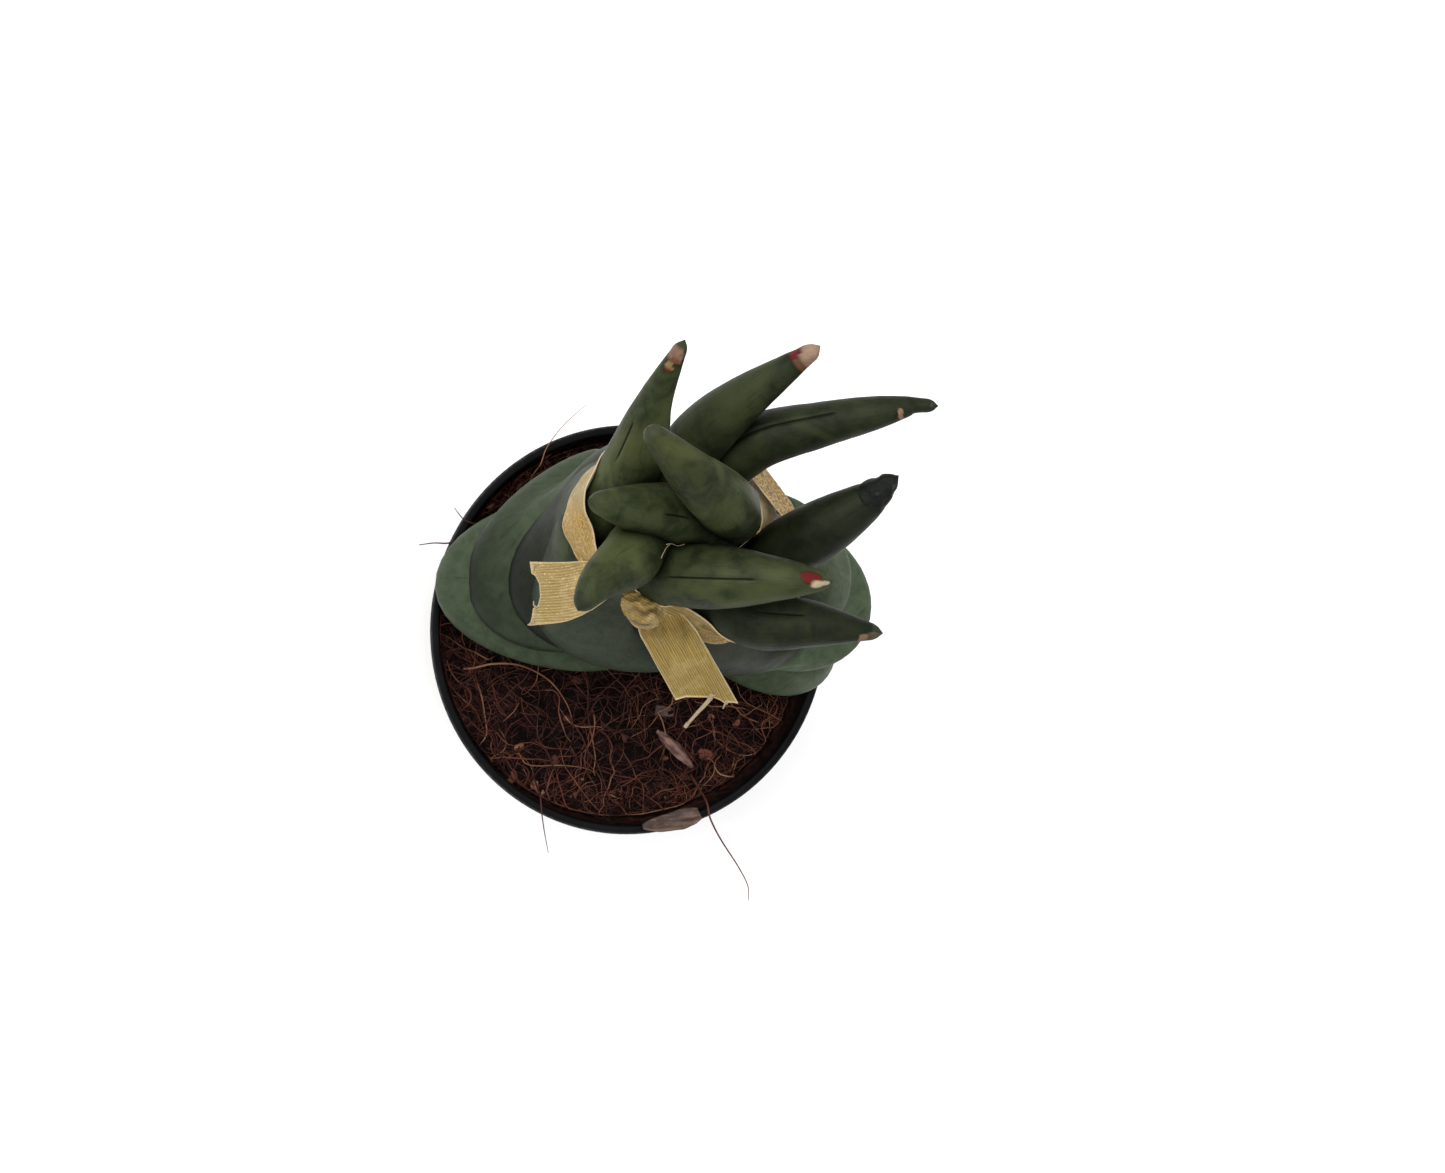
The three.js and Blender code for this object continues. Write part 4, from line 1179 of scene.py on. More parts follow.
@dataclass
class Pot:
    """The thin nursery pot, turned about its axis, with drain holes round a solid middle. Millimetres."""

    rim_radius: float = 52.5
    height: float = 90.0
    base_radius: float = 37.5
    wall: float = 1.2
    floor: float = 2.0
    collar_bottom: float = 78.0
    drain_count: int = 8
    drain_radius: float = 3.6
    drain_circle: float = 27.0
    segments: int = 160
    sharp_above: float = math.radians(34)
    plastic: PotPlastic = field(default_factory=PotPlastic)

    def _profile(self) -> list[tuple[float, float]]:
        """The wall's section as radius and height, from the bottom's middle to the floor's middle."""
        step = self.rim_radius - 3.7
        foot, lip = 0.6, 0.55
        corners = [(self.base_radius - foot * (1 - math.sin(a)), foot * (1 - math.cos(a)))
                   for a in np.radians([0, 30, 60, 90])]
        neck = [(step, self.collar_bottom - 1.6), (step + 0.5, self.collar_bottom - 1.1),
                (self.rim_radius - 2.2, self.collar_bottom - 0.1),
                (self.rim_radius - 2.0, self.collar_bottom + 0.5)]
        under = [(self.rim_radius - 1.3, self.height - 1.95), (self.rim_radius - 0.9, self.height - 1.75)]
        outer = [(self.rim_radius - lip + lip * math.cos(a), self.height - lip + lip * math.sin(a))
                 for a in np.radians([-60, -30, 0, 30, 60, 90])]
        inner = [(self.rim_radius - 1.75 - lip * math.sin(a), self.height - lip + lip * math.cos(a))
                 for a in np.radians([0, 30, 60, 90])]
        wall = [(self.rim_radius - 3.1, self.collar_bottom + 0.8),
                (step - self.wall, self.collar_bottom - 1.0), (self.base_radius - self.wall, self.floor)]
        return [(0, 0), *corners, *neck, *under, *outer, *inner, *wall, (0, self.floor)]

    def _drains(self) -> bpy.types.NodeTree:
        """A tree that cuts the drain holes."""
        g, start = nodes_tree("drain_holes", ("Hole Radius", "Circle Radius", "Depth"), "Count")
        circle = g.node("GeometryNodeCurvePrimitiveCircle", {"mode": "RADIUS"}, {
            "Resolution": start.output("Count"), "Radius": start.output("Circle Radius")}, "Curve")
        half_step = (0.0, 0.0, math.pi / self.drain_count)
        turned = g.node("GeometryNodeTransform", {}, {"Geometry": circle, "Rotation": half_step})
        cutter = g.node("GeometryNodeMeshCylinder", {}, {
            "Vertices": 32, "Radius": start.output("Hole Radius"), "Depth": start.output("Depth")}, "Mesh")
        holes = g.node("GeometryNodeInstanceOnPoints", {}, {"Points": turned, "Instance": cutter})
        solid = g.node("GeometryNodeRealizeInstances", {}, {"Geometry": holes})
        cut = g.node("GeometryNodeMeshBoolean", {"operation": "DIFFERENCE", "solver": "EXACT"},
                     {"Mesh 1": start, "Mesh 2": solid}, "Mesh")
        return end_tree(g, cut, start.output("Material"))

    def build(self) -> bpy.types.Object:
        """Makes the pot.

        Returns:
            The pot, in place of its solid.
        """
        profile = np.array(self._profile())
        ring = profile[1:-1]
        angle = 2 * np.pi * np.arange(self.segments) / self.segments
        body = np.stack([ring[:, None, 0] * np.cos(angle), ring[:, None, 0] * np.sin(angle),
                         np.repeat(ring[:, 1:], self.segments, 1)], 2).reshape(-1, 3)
        vertices = np.vstack([body, [[0, 0, 0]], [[0, 0, self.floor]]])
        mesh = mesh_of(vertices, fanned_faces(len(ring), self.segments))
        crest = int(np.argmax(ring[:, 1] - np.abs(ring[:, 0] - self.rim_radius + 1.2)))
        inside = np.repeat((np.arange(len(ring)) > crest + 3).astype(float), self.segments)
        set_attribute(mesh, "inside", np.concatenate([inside, [0.0, 1.0]]))
        material = self.plastic.material()
        pot = add_object("pot_finish", mesh, material)
        bake_nodes(pot, self._drains(), {
            "Count": self.drain_count, "Hole Radius": self.drain_radius * MM,
            "Circle Radius": self.drain_circle * MM, "Depth": self.floor * 4 * MM, "Material": material})
        pot.data.set_sharp_from_angle(angle=self.sharp_above)
        settle(pot, "pot", "pot")
        return pot


@dataclass
class SoilBed:
    """The coir soil: an uneven body, crumbs, loose fibres and long strands over the rim. Millimetres."""

    height: float = 79.0
    radius: float = 49.1
    edge: float = 82.0
    rings: int = 78
    segments: int = 220
    seed: int = 7
    soil: CoirSoil = field(default_factory=CoirSoil)
    fibre: Fibre = field(default_factory=Fibre)

    LONG_STRANDS = (
        ((-36, 28.5, 77.5), (-38.5, 27, 85), (-41, 25, 90.9), (-44.5, 22.8, 92), (-48.5, 21.8, 92.2),
         (-52, 21.8, 92), (-55.6, 21.3, 91.8)),
        ((-34, 26, 77.5), (-37.5, 26, 85), (-41.5, 26.6, 91), (-44.6, 27.8, 92), (-46.8, 30.6, 91.6)),
        ((-26, 36, 77.5), (-25.5, 39.5, 85), (-24.8, 41.9, 90.8), (-23.5, 46, 92), (-19.5, 51.6, 92.8),
         (-13.5, 57, 92.6)),
        ((-24.5, -36.5, 77.5), (-24.6, -39.6, 85), (-24.9, -41.9, 90.8), (-24.8, -46, 92),
         (-24.2, -50.5, 92.3), (-23, -56, 91.4)),
        ((18.5, -38.5, 77.5), (18.8, -42, 85), (19, -44.8, 90.8), (19.6, -49, 92.2), (22.5, -54.5, 92),
         (28, -62, 89.5), (31.5, -67.5, 87), (32.8, -72, 84)),
        ((-45, -9.5, 78.5), (-41, -9.8, 81), (-35, -8.6, 82), (-28, -9.2, 82.4), (-20.5, -13.2, 81.8),
         (-15.4, -20, 80.8), (-13, -27, 77.6)),
        ((-8.8, -19.5, 77.6), (-8.2, -24, 80.4), (-9.6, -30, 80.2), (-13.7, -35, 77.6)),
    )
    STRAND_TONES = (0.2, 0.25, 0.95, 0.3, 0.55, 0.9, 0.8)
    STRAND_RADII = (0.38, 0.30, 0.22, 0.28, 0.34, 0.34, 0.3)

    def top(self, x: float, y: float) -> float:
        """The uneven top's height: the solid's own waves with clods and crumbs on them."""
        waves = (0.9 * math.sin(x * 0.21 + 1.3) * math.cos(y * 0.17 - 0.4)
                 + 0.6 * math.sin(x * 0.43 - y * 0.31 + 2.1) + 0.45 * math.cos(x * 0.29 + y * 0.52))
        edge = max(0.0, math.hypot(x, y) - 38) / 11
        return self.height + waves + 1.6 * edge * edge + self._clods(x, y) - 0.4

    @staticmethod
    def _clods(x: float, y: float) -> float:
        """The height of the clods and crumbs."""
        place = np.array([x, y, 0.0])
        clods = 1.5 * abs(bumps(place, 7.0, 1.0))
        return clods + 1.1 * bumps(place, 3.2, 4.0) + 0.5 * bumps(place, 1.4, 9.0)

    def _body(self, leaves: BVHTree) -> bpy.types.Object:
        """The closed body of soil, with how loose its top is at each point and how deep in a hollow, which
        is painted as shade.
        """
        angle = 2 * np.pi * np.arange(self.segments) / self.segments
        vertices, loose, hollow_shade = [[0, 0, self.top(0, 0)]], [0.0], [0.0]
        for i in range(1, self.rings + 1):
            r = self.radius * (i / self.rings) ** 0.9
            for a in angle:
                x, y = r * math.cos(a), r * math.sin(a)
                z = self.top(x, y) if i < self.rings else min(self.top(x, y), self.edge)
                vertices.append([x, y, z])
                loose.append(self._looseness(Vector((x, y, z)), r, leaves))
                # How deep the point lies in a hollow, painted as shade.
                hollow_shade.append(min(1.0, max(0.0, 0.45 - self._clods(x, y)) / 0.9))
        sides = [(self.radius - 0.2, 79.3), (47.2, 77.3), (35.9, 2.3)]
        for r, z in sides:
            vertices += [[r * math.cos(a), r * math.sin(a), z] for a in angle]
        vertices.append([0, 0, sides[-1][1]])
        loose += [0.0] * (len(vertices) - len(loose))
        hollow_shade += [0.0] * (len(vertices) - len(hollow_shade))
        n = self.segments
        faces = [[0, 1 + j, 1 + (j + 1) % n] for j in range(n)]
        for i in range(self.rings + len(sides) - 1):
            a, b = 1 + i * n, 1 + (i + 1) * n
            faces += [[a + j, b + j, b + (j + 1) % n, a + (j + 1) % n] for j in range(n)]
        last = 1 + (self.rings + len(sides) - 1) * n
        faces += [[len(vertices) - 1, last + (j + 1) % n, last + j] for j in range(n)]
        mesh = mesh_of(np.array(vertices), faces)
        set_attribute(mesh, "loose", np.array(loose))
        set_attribute(mesh, "hollow_shade", np.array(hollow_shade))
        return add_object("soil_finish", mesh, self.soil.material())

    @staticmethod
    def _looseness(place: Vector, radius: float, leaves: BVHTree) -> float:
        """How many loose fibres lie at a point: none inside a leaf, more by the wall."""
        near, normal, _, _ = leaves.find_nearest(place * MM)
        if near is not None and (place * MM - near).dot(normal) < 0.0008:
            return 0.0
        clumps = min(1.0, max(0.0, 0.45 + 1.3 * bumps(np.array([place.x, place.y, 0.0]), 8.0, 21.0)))
        return 0.25 + 0.75 * clumps + 0.9 * max(0.0, (radius - 34) / 14)

    @staticmethod
    def _random(g: Graph, seed: Field, salt: int, low: float, high: float,
                which: Field | None = None) -> Field:
        """A random number for each point, or for each curve by which. The salt tells draws apart."""
        inputs = {"Min_001": low, "Max_001": high, "Seed": seed + float(salt)}
        if which is not None:
            inputs["ID"] = which
        return g.node("FunctionNodeRandomValue", {"data_type": "FLOAT"}, inputs, "Value_001")

    def _start_scatter(self, name: str, *floats: str) -> tuple[Graph, Field, Field, Callable[..., Field]]:
        """Starts a tree that scatters things on the soil, the more the looser it is.

        Args:
            name: the tree's name.
            floats: its numbers besides the density.

        Returns:
            The graph, its input, the points, and a function that draws random numbers.
        """
        g, start = nodes_tree(name, ("Density", *floats), "Seed")
        loose = g.node("GeometryNodeInputNamedAttribute", {"data_type": "FLOAT"}, {"Name": "loose"}, 0)
        density, seed = loose * start.output("Density"), start.output("Seed")
        points = g.node("GeometryNodeDistributePointsOnFaces", {},
                        {"Mesh": start, "Density": density, "Seed": seed}, "Points")
        return g, start, points, partial(self._random, g, seed)

    def _fibre_tree(self) -> bpy.types.NodeTree:
        """A tree that lays bent fibres: each wanders, follows the ground and keeps within the wall."""
        g, start, points, draw = self._start_scatter(
            "coir_fibres", "Length", "Radius", "Rise", "Wander", "Wall Radius", "Pale Share")
        line = g.node("GeometryNodeCurvePrimitiveLine", {},
                      {"Start": (-0.5, 0.0, 0.0), "End": (0.5, 0.0, 0.0)})
        line = g.node("GeometryNodeResampleCurve", {}, {"Curve": line, "Count": 15})
        laid = g.node("GeometryNodeInstanceOnPoints", {}, {
            "Points": points, "Instance": line, "Rotation": g.xyz(z=draw(1, 0.0, 2 * math.pi)),
            "Scale": draw(2, 0.45, 1.5) * start.output("Length")})
        curves = g.node("GeometryNodeRealizeInstances", {}, {"Geometry": laid})
        which = g.node("GeometryNodeCurveOfPoint", {}, {}, "Curve Index")
        place = g.node("GeometryNodeInputPosition")
        sample = g.vector("ADD", place, g.xyz(draw(3, -9.0, 9.0, which), draw(4, -9.0, 9.0, which)))
        swirl = g.node("ShaderNodeTexNoise", {}, {"Vector": sample, "Scale": 75.0, "Detail": 1.0}, "Color")
        swirl = g.scaled(g.vector("SUBTRACT", swirl, (0.5, 0.5, 0.5)), start.output("Wander"))
        moved = g.stretched(g.vector("ADD", place, swirl), (1.0, 1.0, 0.0))
        moved = g.scaled(moved, g.math("MINIMUM", start.output("Wall Radius") / g.length(moved), 1.0))
        ground = g.node("GeometryNodeRaycast", {}, {
            "Target Geometry": start, "Source Position": g.vector("ADD", moved, (0.0, 0.0, 0.15)),
            "Ray Direction": (0.0, 0.0, -1.0), "Ray Length": 0.2}, "Hit Position")
        hump = g.math("SINE", g.node("GeometryNodeSplineParameter", {}, {}, "Factor") * math.pi)
        lift = hump * start.output("Rise") * draw(5, 0.15, 1.0, which) + start.output("Radius") * 0.4
        curves = g.node("GeometryNodeSetPosition", {}, {
            "Geometry": curves, "Position": g.vector("ADD", ground, g.xyz(z=lift))})
        tone = draw(6, 0.0, 1.0, which) * start.output("Pale Share")
        curves = g.node("GeometryNodeStoreNamedAttribute", {"data_type": "FLOAT", "domain": "POINT"},
                        {"Geometry": curves, "Name": "tone", "Value": tone})
        round_wire = g.node("GeometryNodeCurvePrimitiveCircle", {"mode": "RADIUS"},
                            {"Resolution": 3, "Radius": start.output("Radius")}, "Curve")
        taper = g.math("POWER", hump + 0.02, 0.4) * draw(7, 0.5, 1.2, which)
        wires = g.node("GeometryNodeCurveToMesh", {}, {
            "Curve": curves, "Profile Curve": round_wire, "Scale": taper, "Fill Caps": True})
        return end_tree(g, wires, start.output("Material"))

    def _crumb_tree(self) -> bpy.types.NodeTree:
        """A tree that scatters rough crumbs on the soil."""
        g, start, points, draw = self._start_scatter("soil_crumbs", "Size", "Flatness", "Roughness")
        crumb = g.node("GeometryNodeMeshIcoSphere", {}, {"Radius": 1.0, "Subdivisions": 2}, "Mesh")
        size = g.math("POWER", draw(4, 0.3, 1.0), 2.0) * start.output("Size")
        laid = g.node("GeometryNodeInstanceOnPoints", {}, {
            "Points": points, "Instance": crumb,
            "Rotation": g.xyz(draw(1, -0.5, 0.5), draw(2, -0.5, 0.5), draw(3, 0.0, 6.3)),
            "Scale": g.xyz(size, size * draw(5, 0.45, 0.9), size * start.output("Flatness"))})
        laid = g.node("GeometryNodeStoreNamedAttribute", {"data_type": "FLOAT", "domain": "INSTANCE"},
                      {"Geometry": laid, "Name": "tone", "Value": draw(6, 0.0, 1.0)})
        real = g.node("GeometryNodeRealizeInstances", {}, {"Geometry": laid})
        dent = g.node("ShaderNodeTexNoise", {}, {
            "Vector": g.node("GeometryNodeInputPosition"), "Scale": 1300.0, "Detail": 2.0}, "Fac")
        push = g.scaled(g.node("GeometryNodeInputNormal"), (dent - 0.5) * start.output("Roughness"))
        rough = g.node("GeometryNodeSetPosition", {}, {"Geometry": real, "Offset": push})
        return end_tree(g, rough, start.output("Material"))

    def _scatter(self, name: str, body: bpy.types.Object, tree: bpy.types.NodeTree, sizes: dict,
                 material: bpy.types.Material) -> bpy.types.Object:
        """Runs a scatter tree on a copy of the soil, and keeps what it laid."""
        piece = new_object(name, body.data.copy())
        bake_nodes(piece, tree, {**sizes, "Material": material})
        settle(piece, "soil")
        return piece

    def _long_strands(self, material: bpy.types.Material) -> bpy.types.Object:
        """The strands that reach over the rim, and the two long ones that lie on the soil."""
        parts, tones = [], []
        for points, tone, radius in zip(self.LONG_STRANDS, self.STRAND_TONES, self.STRAND_RADII):
            parts.append(tube(points, lambda s, r=radius: r * (1.05 - s * 0.75), 7, 8))
            tones += [tone] * len(parts[-1][0])
        mesh = mesh_of(*joined(parts))
        set_attribute(mesh, "tone", np.array(tones))
        strands = add_object("long_strands", mesh, material)
        settle(strands, "soil")
        return strands

    def build(self, leaves: BVHTree) -> bpy.types.Object:
        """Makes the soil and everything loose on it.

        Args:
            leaves: the leaves' surface, which the loose bits stay out of.

        Returns:
            The soil's body.
        """
        body = self._body(leaves)
        settle(body, "soil", "soil")
        threads = self.fibre.material()
        fibres = self._fibre_tree()
        common = {"Wall Radius": (self.radius - 0.5) * MM}
        self._scatter("fine_fibres", body, fibres, {
            **common, "Density": 230000.0, "Length": 11 * MM, "Radius": 0.11 * MM, "Rise": 1.6 * MM,
            "Wander": 14 * MM, "Pale Share": 0.85, "Seed": self.seed}, threads)
        self._scatter("coarse_fibres", body, fibres, {
            **common, "Density": 52000.0, "Length": 17 * MM, "Radius": 0.22 * MM, "Rise": 2.6 * MM,
            "Wander": 18 * MM, "Pale Share": 1.0, "Seed": self.seed + 20}, threads)
        crumbs = self._crumb_tree()
        self._scatter("soil_crumbs", body, crumbs, {
            "Density": 400000.0, "Size": 1.5 * MM, "Flatness": 0.6, "Roughness": 0.9 * MM,
            "Seed": self.seed + 40}, body.data.materials[0])
        self._scatter("husk_crumbs", body, crumbs, {
            "Density": 16000.0, "Size": 2.4 * MM, "Flatness": 0.28, "Roughness": 0.5 * MM,
            "Seed": self.seed + 60}, threads)
        self._long_strands(threads)
        return body


@dataclass
class LooseHusk:
    """The papery flake against the wall, the spindle and the chip on the soil. Millimetres."""

    flake_radius: float = 50.5
    flake_height: float = 91.3
    flake: Husk = Husk(name="husk_paper", dark=(0.030, 0.015, 0.011), tan=(0.115, 0.070, 0.052))
    wood: Husk = Husk(
        name="husk_wood", dark=(0.060, 0.024, 0.020), tan=(0.215, 0.115, 0.090), streak_turn=0.79)
    chip: Husk = Husk(name="husk_chip_wood", dark=(0.026, 0.012, 0.010), tan=(0.075, 0.038, 0.028))

    FLAKE_SHAPE = ((-88, 0.5), (-85.5, 1.3), (-83, 1.7), (-79.5, 2.0), (-76, 2.2), (-73, 1.9),
                   (-70.5, 1.3))
    SPINDLE_LINE = ((8.6, -26.8, 80.2), (11.6, -29.8, 80.8), (14.8, -33, 80.6), (18.4, -36.8, 80))
    SPINDLE_SIDES = 20
    CHIP_HALF = (2.6, 1.4, 0.6)
    CHIP_PLACE = (10.8, -21.7, 80.1)

    def _flake(self) -> bpy.types.Object:
        """A curled papery flake that lies across the rim."""
        rows = []
        for azimuth, half in self.FLAKE_SHAPE:
            a = math.radians(azimuth)
            place = (self.flake_radius * math.cos(a), self.flake_radius * math.sin(a), self.flake_height)
            rows.append((*place, half * math.cos(a), half * math.sin(a), half * 0.72))
        strip = Strip(rows, thick=0.55, per_span=6, across=8,
                      rise=lambda u, v, p: 0.45 * bumps(p, 2.2, 6.0) - 0.5 * u * u)
        return strip.build("husk_flake_finish", self.flake.material())

    def _spindle(self) -> bpy.types.Object:
        """A split sliver of husk, thickest in its middle."""
        vertices, faces = tube(self.SPINDLE_LINE, self._spindle_radius, self.SPINDLE_SIDES, 14)
        rings = vertices.reshape(-1, self.SPINDLE_SIDES, 3)
        ray = unit(rings - rings.mean(1, keepdims=True)).reshape(-1, 3)
        rough = np.array([0.32 * bumps(p * [0.5, 0.5, 1.6], 1.1, 2.0) for p in vertices])
        mesh = mesh_of(vertices + ray * rough[:, None], faces)
        return add_object("husk_spindle_finish", mesh, self.wood.material())

    @staticmethod
    def _spindle_radius(share: float) -> float:
        """The spindle's radius at a share of its length."""
        return 0.3 + 1.25 * math.sin(math.pi * min(0.97, 0.06 + share * 0.9))

    def _chip(self) -> bpy.types.Object:
        """A worn chip of husk."""
        signs = (-1, 1)
        corners = [np.array((x, y, z)) * self.CHIP_HALF for x in signs for y in signs for z in signs]
        faces = [(0, 1, 3, 2), (4, 6, 7, 5), (0, 4, 5, 1), (2, 3, 7, 6), (0, 2, 6, 4), (1, 5, 7, 3)]
        turn = Matrix.Rotation(-0.15, 3, "Z") @ Matrix.Rotation(0.2, 3, "X")
        block = bpy.data.meshes.new("chip")
        block.from_pydata([(turn @ Vector(c) + Vector(self.CHIP_PLACE)) * MM for c in corners], [], faces)
        tool = new_object("chip_tool", block)
        bevel = tool.modifiers.new("worn", "BEVEL")
        bevel.width = 0.35 * MM
        bevel.segments = 2
        finer = tool.modifiers.new("finer", "SUBSURF")
        finer.subdivision_type = "SIMPLE"
        finer.levels = finer.render_levels = 3
        bpy.context.view_layer.update()
        result = bpy.data.meshes.new_from_object(tool.evaluated_get(bpy.context.evaluated_depsgraph_get()))
        for vertex in result.vertices:
            vertex.co += vertex.normal * bumps(np.array(vertex.co) / MM, 0.9, 3.0) * 0.28 * MM
        bpy.data.objects.remove(tool)
        return add_object("husk_chip_finish", result, self.chip.material())

    def build(self) -> None:
        """Makes the three loose bits."""
        settle(self._flake(), "husk", "husk_flake")
        settle(self._spindle(), "husk", "husk_spindle")
        settle(self._chip(), "husk", "husk_chip")


@dataclass
class Strip:
    """A thin strip of cloth or paper through rows of x, y, z and half its width as a vector.

    Millimetres. A function of u and v gets the place across, -1 to 1, and the run along the cloth.
    """

    rows: Sequence[Row]
    thick: float = 0.3
    per_span: int = 10
    across: int = 28
    closed: bool = False
    rise: Callable[[float, float, np.ndarray], float] | None = None
    cut_end: Callable[[float], float] | None = None
    clear_of: BVHTree | None = None
    clearance: float = 0.35
    lift_limit: float = 4.5
    cut_share: float = 0.28
    glitter: Callable[[np.ndarray], float] | None = None
    shade: Callable[[float, float], float] | None = None

    def _middle_face(self) -> tuple[np.ndarray, np.ndarray]:
        """The strip's middle surface, and metres across and along the flat cloth at each of its points."""
        rows = [tuple(r) for r in self.rows]
        if self.closed:
            smooth = smooth_rows([rows[-1], *rows, rows[0], rows[1]], self.per_span)
            smooth = smooth[self.per_span:self.per_span * (len(rows) + 1)]
        else:
            smooth = smooth_rows(rows, self.per_span)
        middle, half = smooth[:, :3], smooth[:, 3:6]
        if self.closed:
            along = np.roll(middle, -1, 0) - np.roll(middle, 1, 0)
        else:
            along = np.gradient(middle, axis=0)
        normal = unit(np.cross(along, half))
        u = np.linspace(-1, 1, self.across + 1)
        run = np.concatenate([[0], np.cumsum(np.linalg.norm(np.diff(middle, axis=0), axis=1))])
        face = middle[:, None, :] + half[:, None, :] * u[None, :, None]
        if self.cut_end:
            cut = np.array([self.cut_end(x) for x in u])
            pull = np.clip((run - run[-1] * (1 - self.cut_share)) / (run[-1] * self.cut_share), 0, 1)
            face = face + unit(along)[:, None, :] * (pull[:, None] * cut[None, :])[:, :, None]
        if self.rise:
            for i, r in enumerate(run):
                for j, x in enumerate(u):
                    face[i, j] += normal[i] * self.rise(x, r, face[i, j])
        across = np.linalg.norm(half, axis=1)[:, None] * u[None, :]
        return face, np.stack([across, np.repeat(run[:, None], len(u), 1)], 2) * MM

    def _cleared(self, face: np.ndarray) -> np.ndarray:
        """Moves points that lie in what the strip hugs out to its surface."""
        for _ in range(2):
            for i, j in np.ndindex(face.shape[:2]):
                place = Vector(face[i, j] * MM)
                near, normal, _, distance = self.clear_of.find_nearest(place)
                depth = (place - near).dot(normal)
                if depth < self.clearance * MM and distance < self.lift_limit * MM:
                    face[i, j] = np.array(near + normal * self.clearance * MM) / MM
            if self.closed:
                face = (np.roll(face, 1, 0) + np.roll(face, -1, 0) + 2 * face) / 4
            else:
                face[1:-1] = (face[:-2] + face[2:] + 2 * face[1:-1]) / 4
        return face

    def build(self, name: str, material: bpy.types.Material) -> bpy.types.Object:
        """Makes the strip as a closed thin solid.

        Args:
            name: the piece's name.
            material: its material.

        Returns:
            The strip.
        """
        face, flat = self._middle_face()
        if self.clear_of is not None:
            face = self._cleared(face)
        wide = self.across + 1
        tangent = np.roll(face, -1, 0) - np.roll(face, 1, 0) if self.closed else np.gradient(face, axis=0)
        lie = unit(np.cross(tangent, np.gradient(face, axis=1)))
        upper, lower = face + lie * self.thick / 2, face - lie * self.thick / 2
        ring = np.concatenate([upper, lower[:, ::-1]], 1)
        around = 2 * wide
        edge = np.concatenate([self._edge(wide), self._edge(wide)[::-1]])
        edge = np.repeat(edge[None, :], len(face), 0)
        if not self.closed and self.cut_end:
            edge[-1] = 1.0
        faces = [f[::-1] for f in tube_faces(len(face), around, self.closed)]
        if not self.closed:
            faces = faces[:-2] + self._lids(len(face), wide)
        mesh = mesh_of(ring.reshape(-1, 3), faces)
        set_attribute(mesh, "edge", edge.ravel())
        if self.glitter:
            set_attribute(mesh, "glitter", np.array([self.glitter(p) for p in ring.reshape(-1, 3)]))
        if self.shade:
            run = np.concatenate([flat, flat[:, ::-1]], 1).reshape(-1, 2)[:, 1] / MM
            u = np.tile(np.concatenate([np.linspace(-1, 1, wide), np.linspace(1, -1, wide)]), len(face))
            set_attribute(mesh, "shade", np.array([self.shade(*where) for where in zip(u, run)]))
        self._map_cloth(mesh, flat, around, len(face))
        return add_object(name, mesh, material)

    def flat_size(self) -> tuple[float, float, float]:
        """The cut cloth's width, length and area, in metres and square metres."""
        face, flat = self._middle_face()
        length = float(flat[-1, 0, 1])
        if self.closed:
            length += float(np.linalg.norm(face[0] - face[-1], axis=1).mean()) * MM
        widths = flat[:, -1, 0] - flat[:, 0, 0]
        return float(widths.max()), length, float(widths.mean()) * length

    @staticmethod
    def _lids(rings: int, wide: int) -> Faces:
        """Rows of four-sided faces that close the strip's far end and its near one."""
        faces = []
        for first in ((rings - 1) * 2 * wide, 0):
            for j in range(wide - 1):
                lid = [first + j, first + j + 1, first + 2 * wide - 2 - j, first + 2 * wide - 1 - j]
                faces.append(lid if first else lid[::-1])
        return faces

    @staticmethod
    def _edge(wide: int) -> np.ndarray:
        """1 at the strip's two woven edges, 0 between them."""
        edge = np.zeros(wide)
        edge[[0, -1]] = 1.0
        edge[[1, -2]] = 0.25
        return edge

    def _map_cloth(self, mesh: bpy.types.Mesh, flat: np.ndarray, around: int, rings: int) -> None:
        """Lays the flat cloth's metres on the mesh as its UV map."""
        layer = mesh.uv_layers.new(name="cloth")
        both = np.concatenate([flat, flat[:, ::-1]], 1)
        step = float(both[-1, 0, 1] - both[-2, 0, 1]) if rings > 1 else 0.0
        where = both.reshape(-1, 2)
        loops = np.zeros(len(mesh.loops), np.int32)
        mesh.loops.foreach_get("vertex_index", loops)
        values = where[loops].copy()
        if self.closed:
            for polygon in mesh.polygons:
                ids = range(polygon.loop_start, polygon.loop_start + polygon.loop_total)
                rows = [loops[i] // around for i in ids]
                if max(rows) - min(rows) > 1:
                    for i, row in zip(ids, rows):
                        if row == 0:
                            values[i, 1] = both[-1, 0, 1] + step
        layer.data.foreach_set("uv", values.astype(np.float32).ravel())


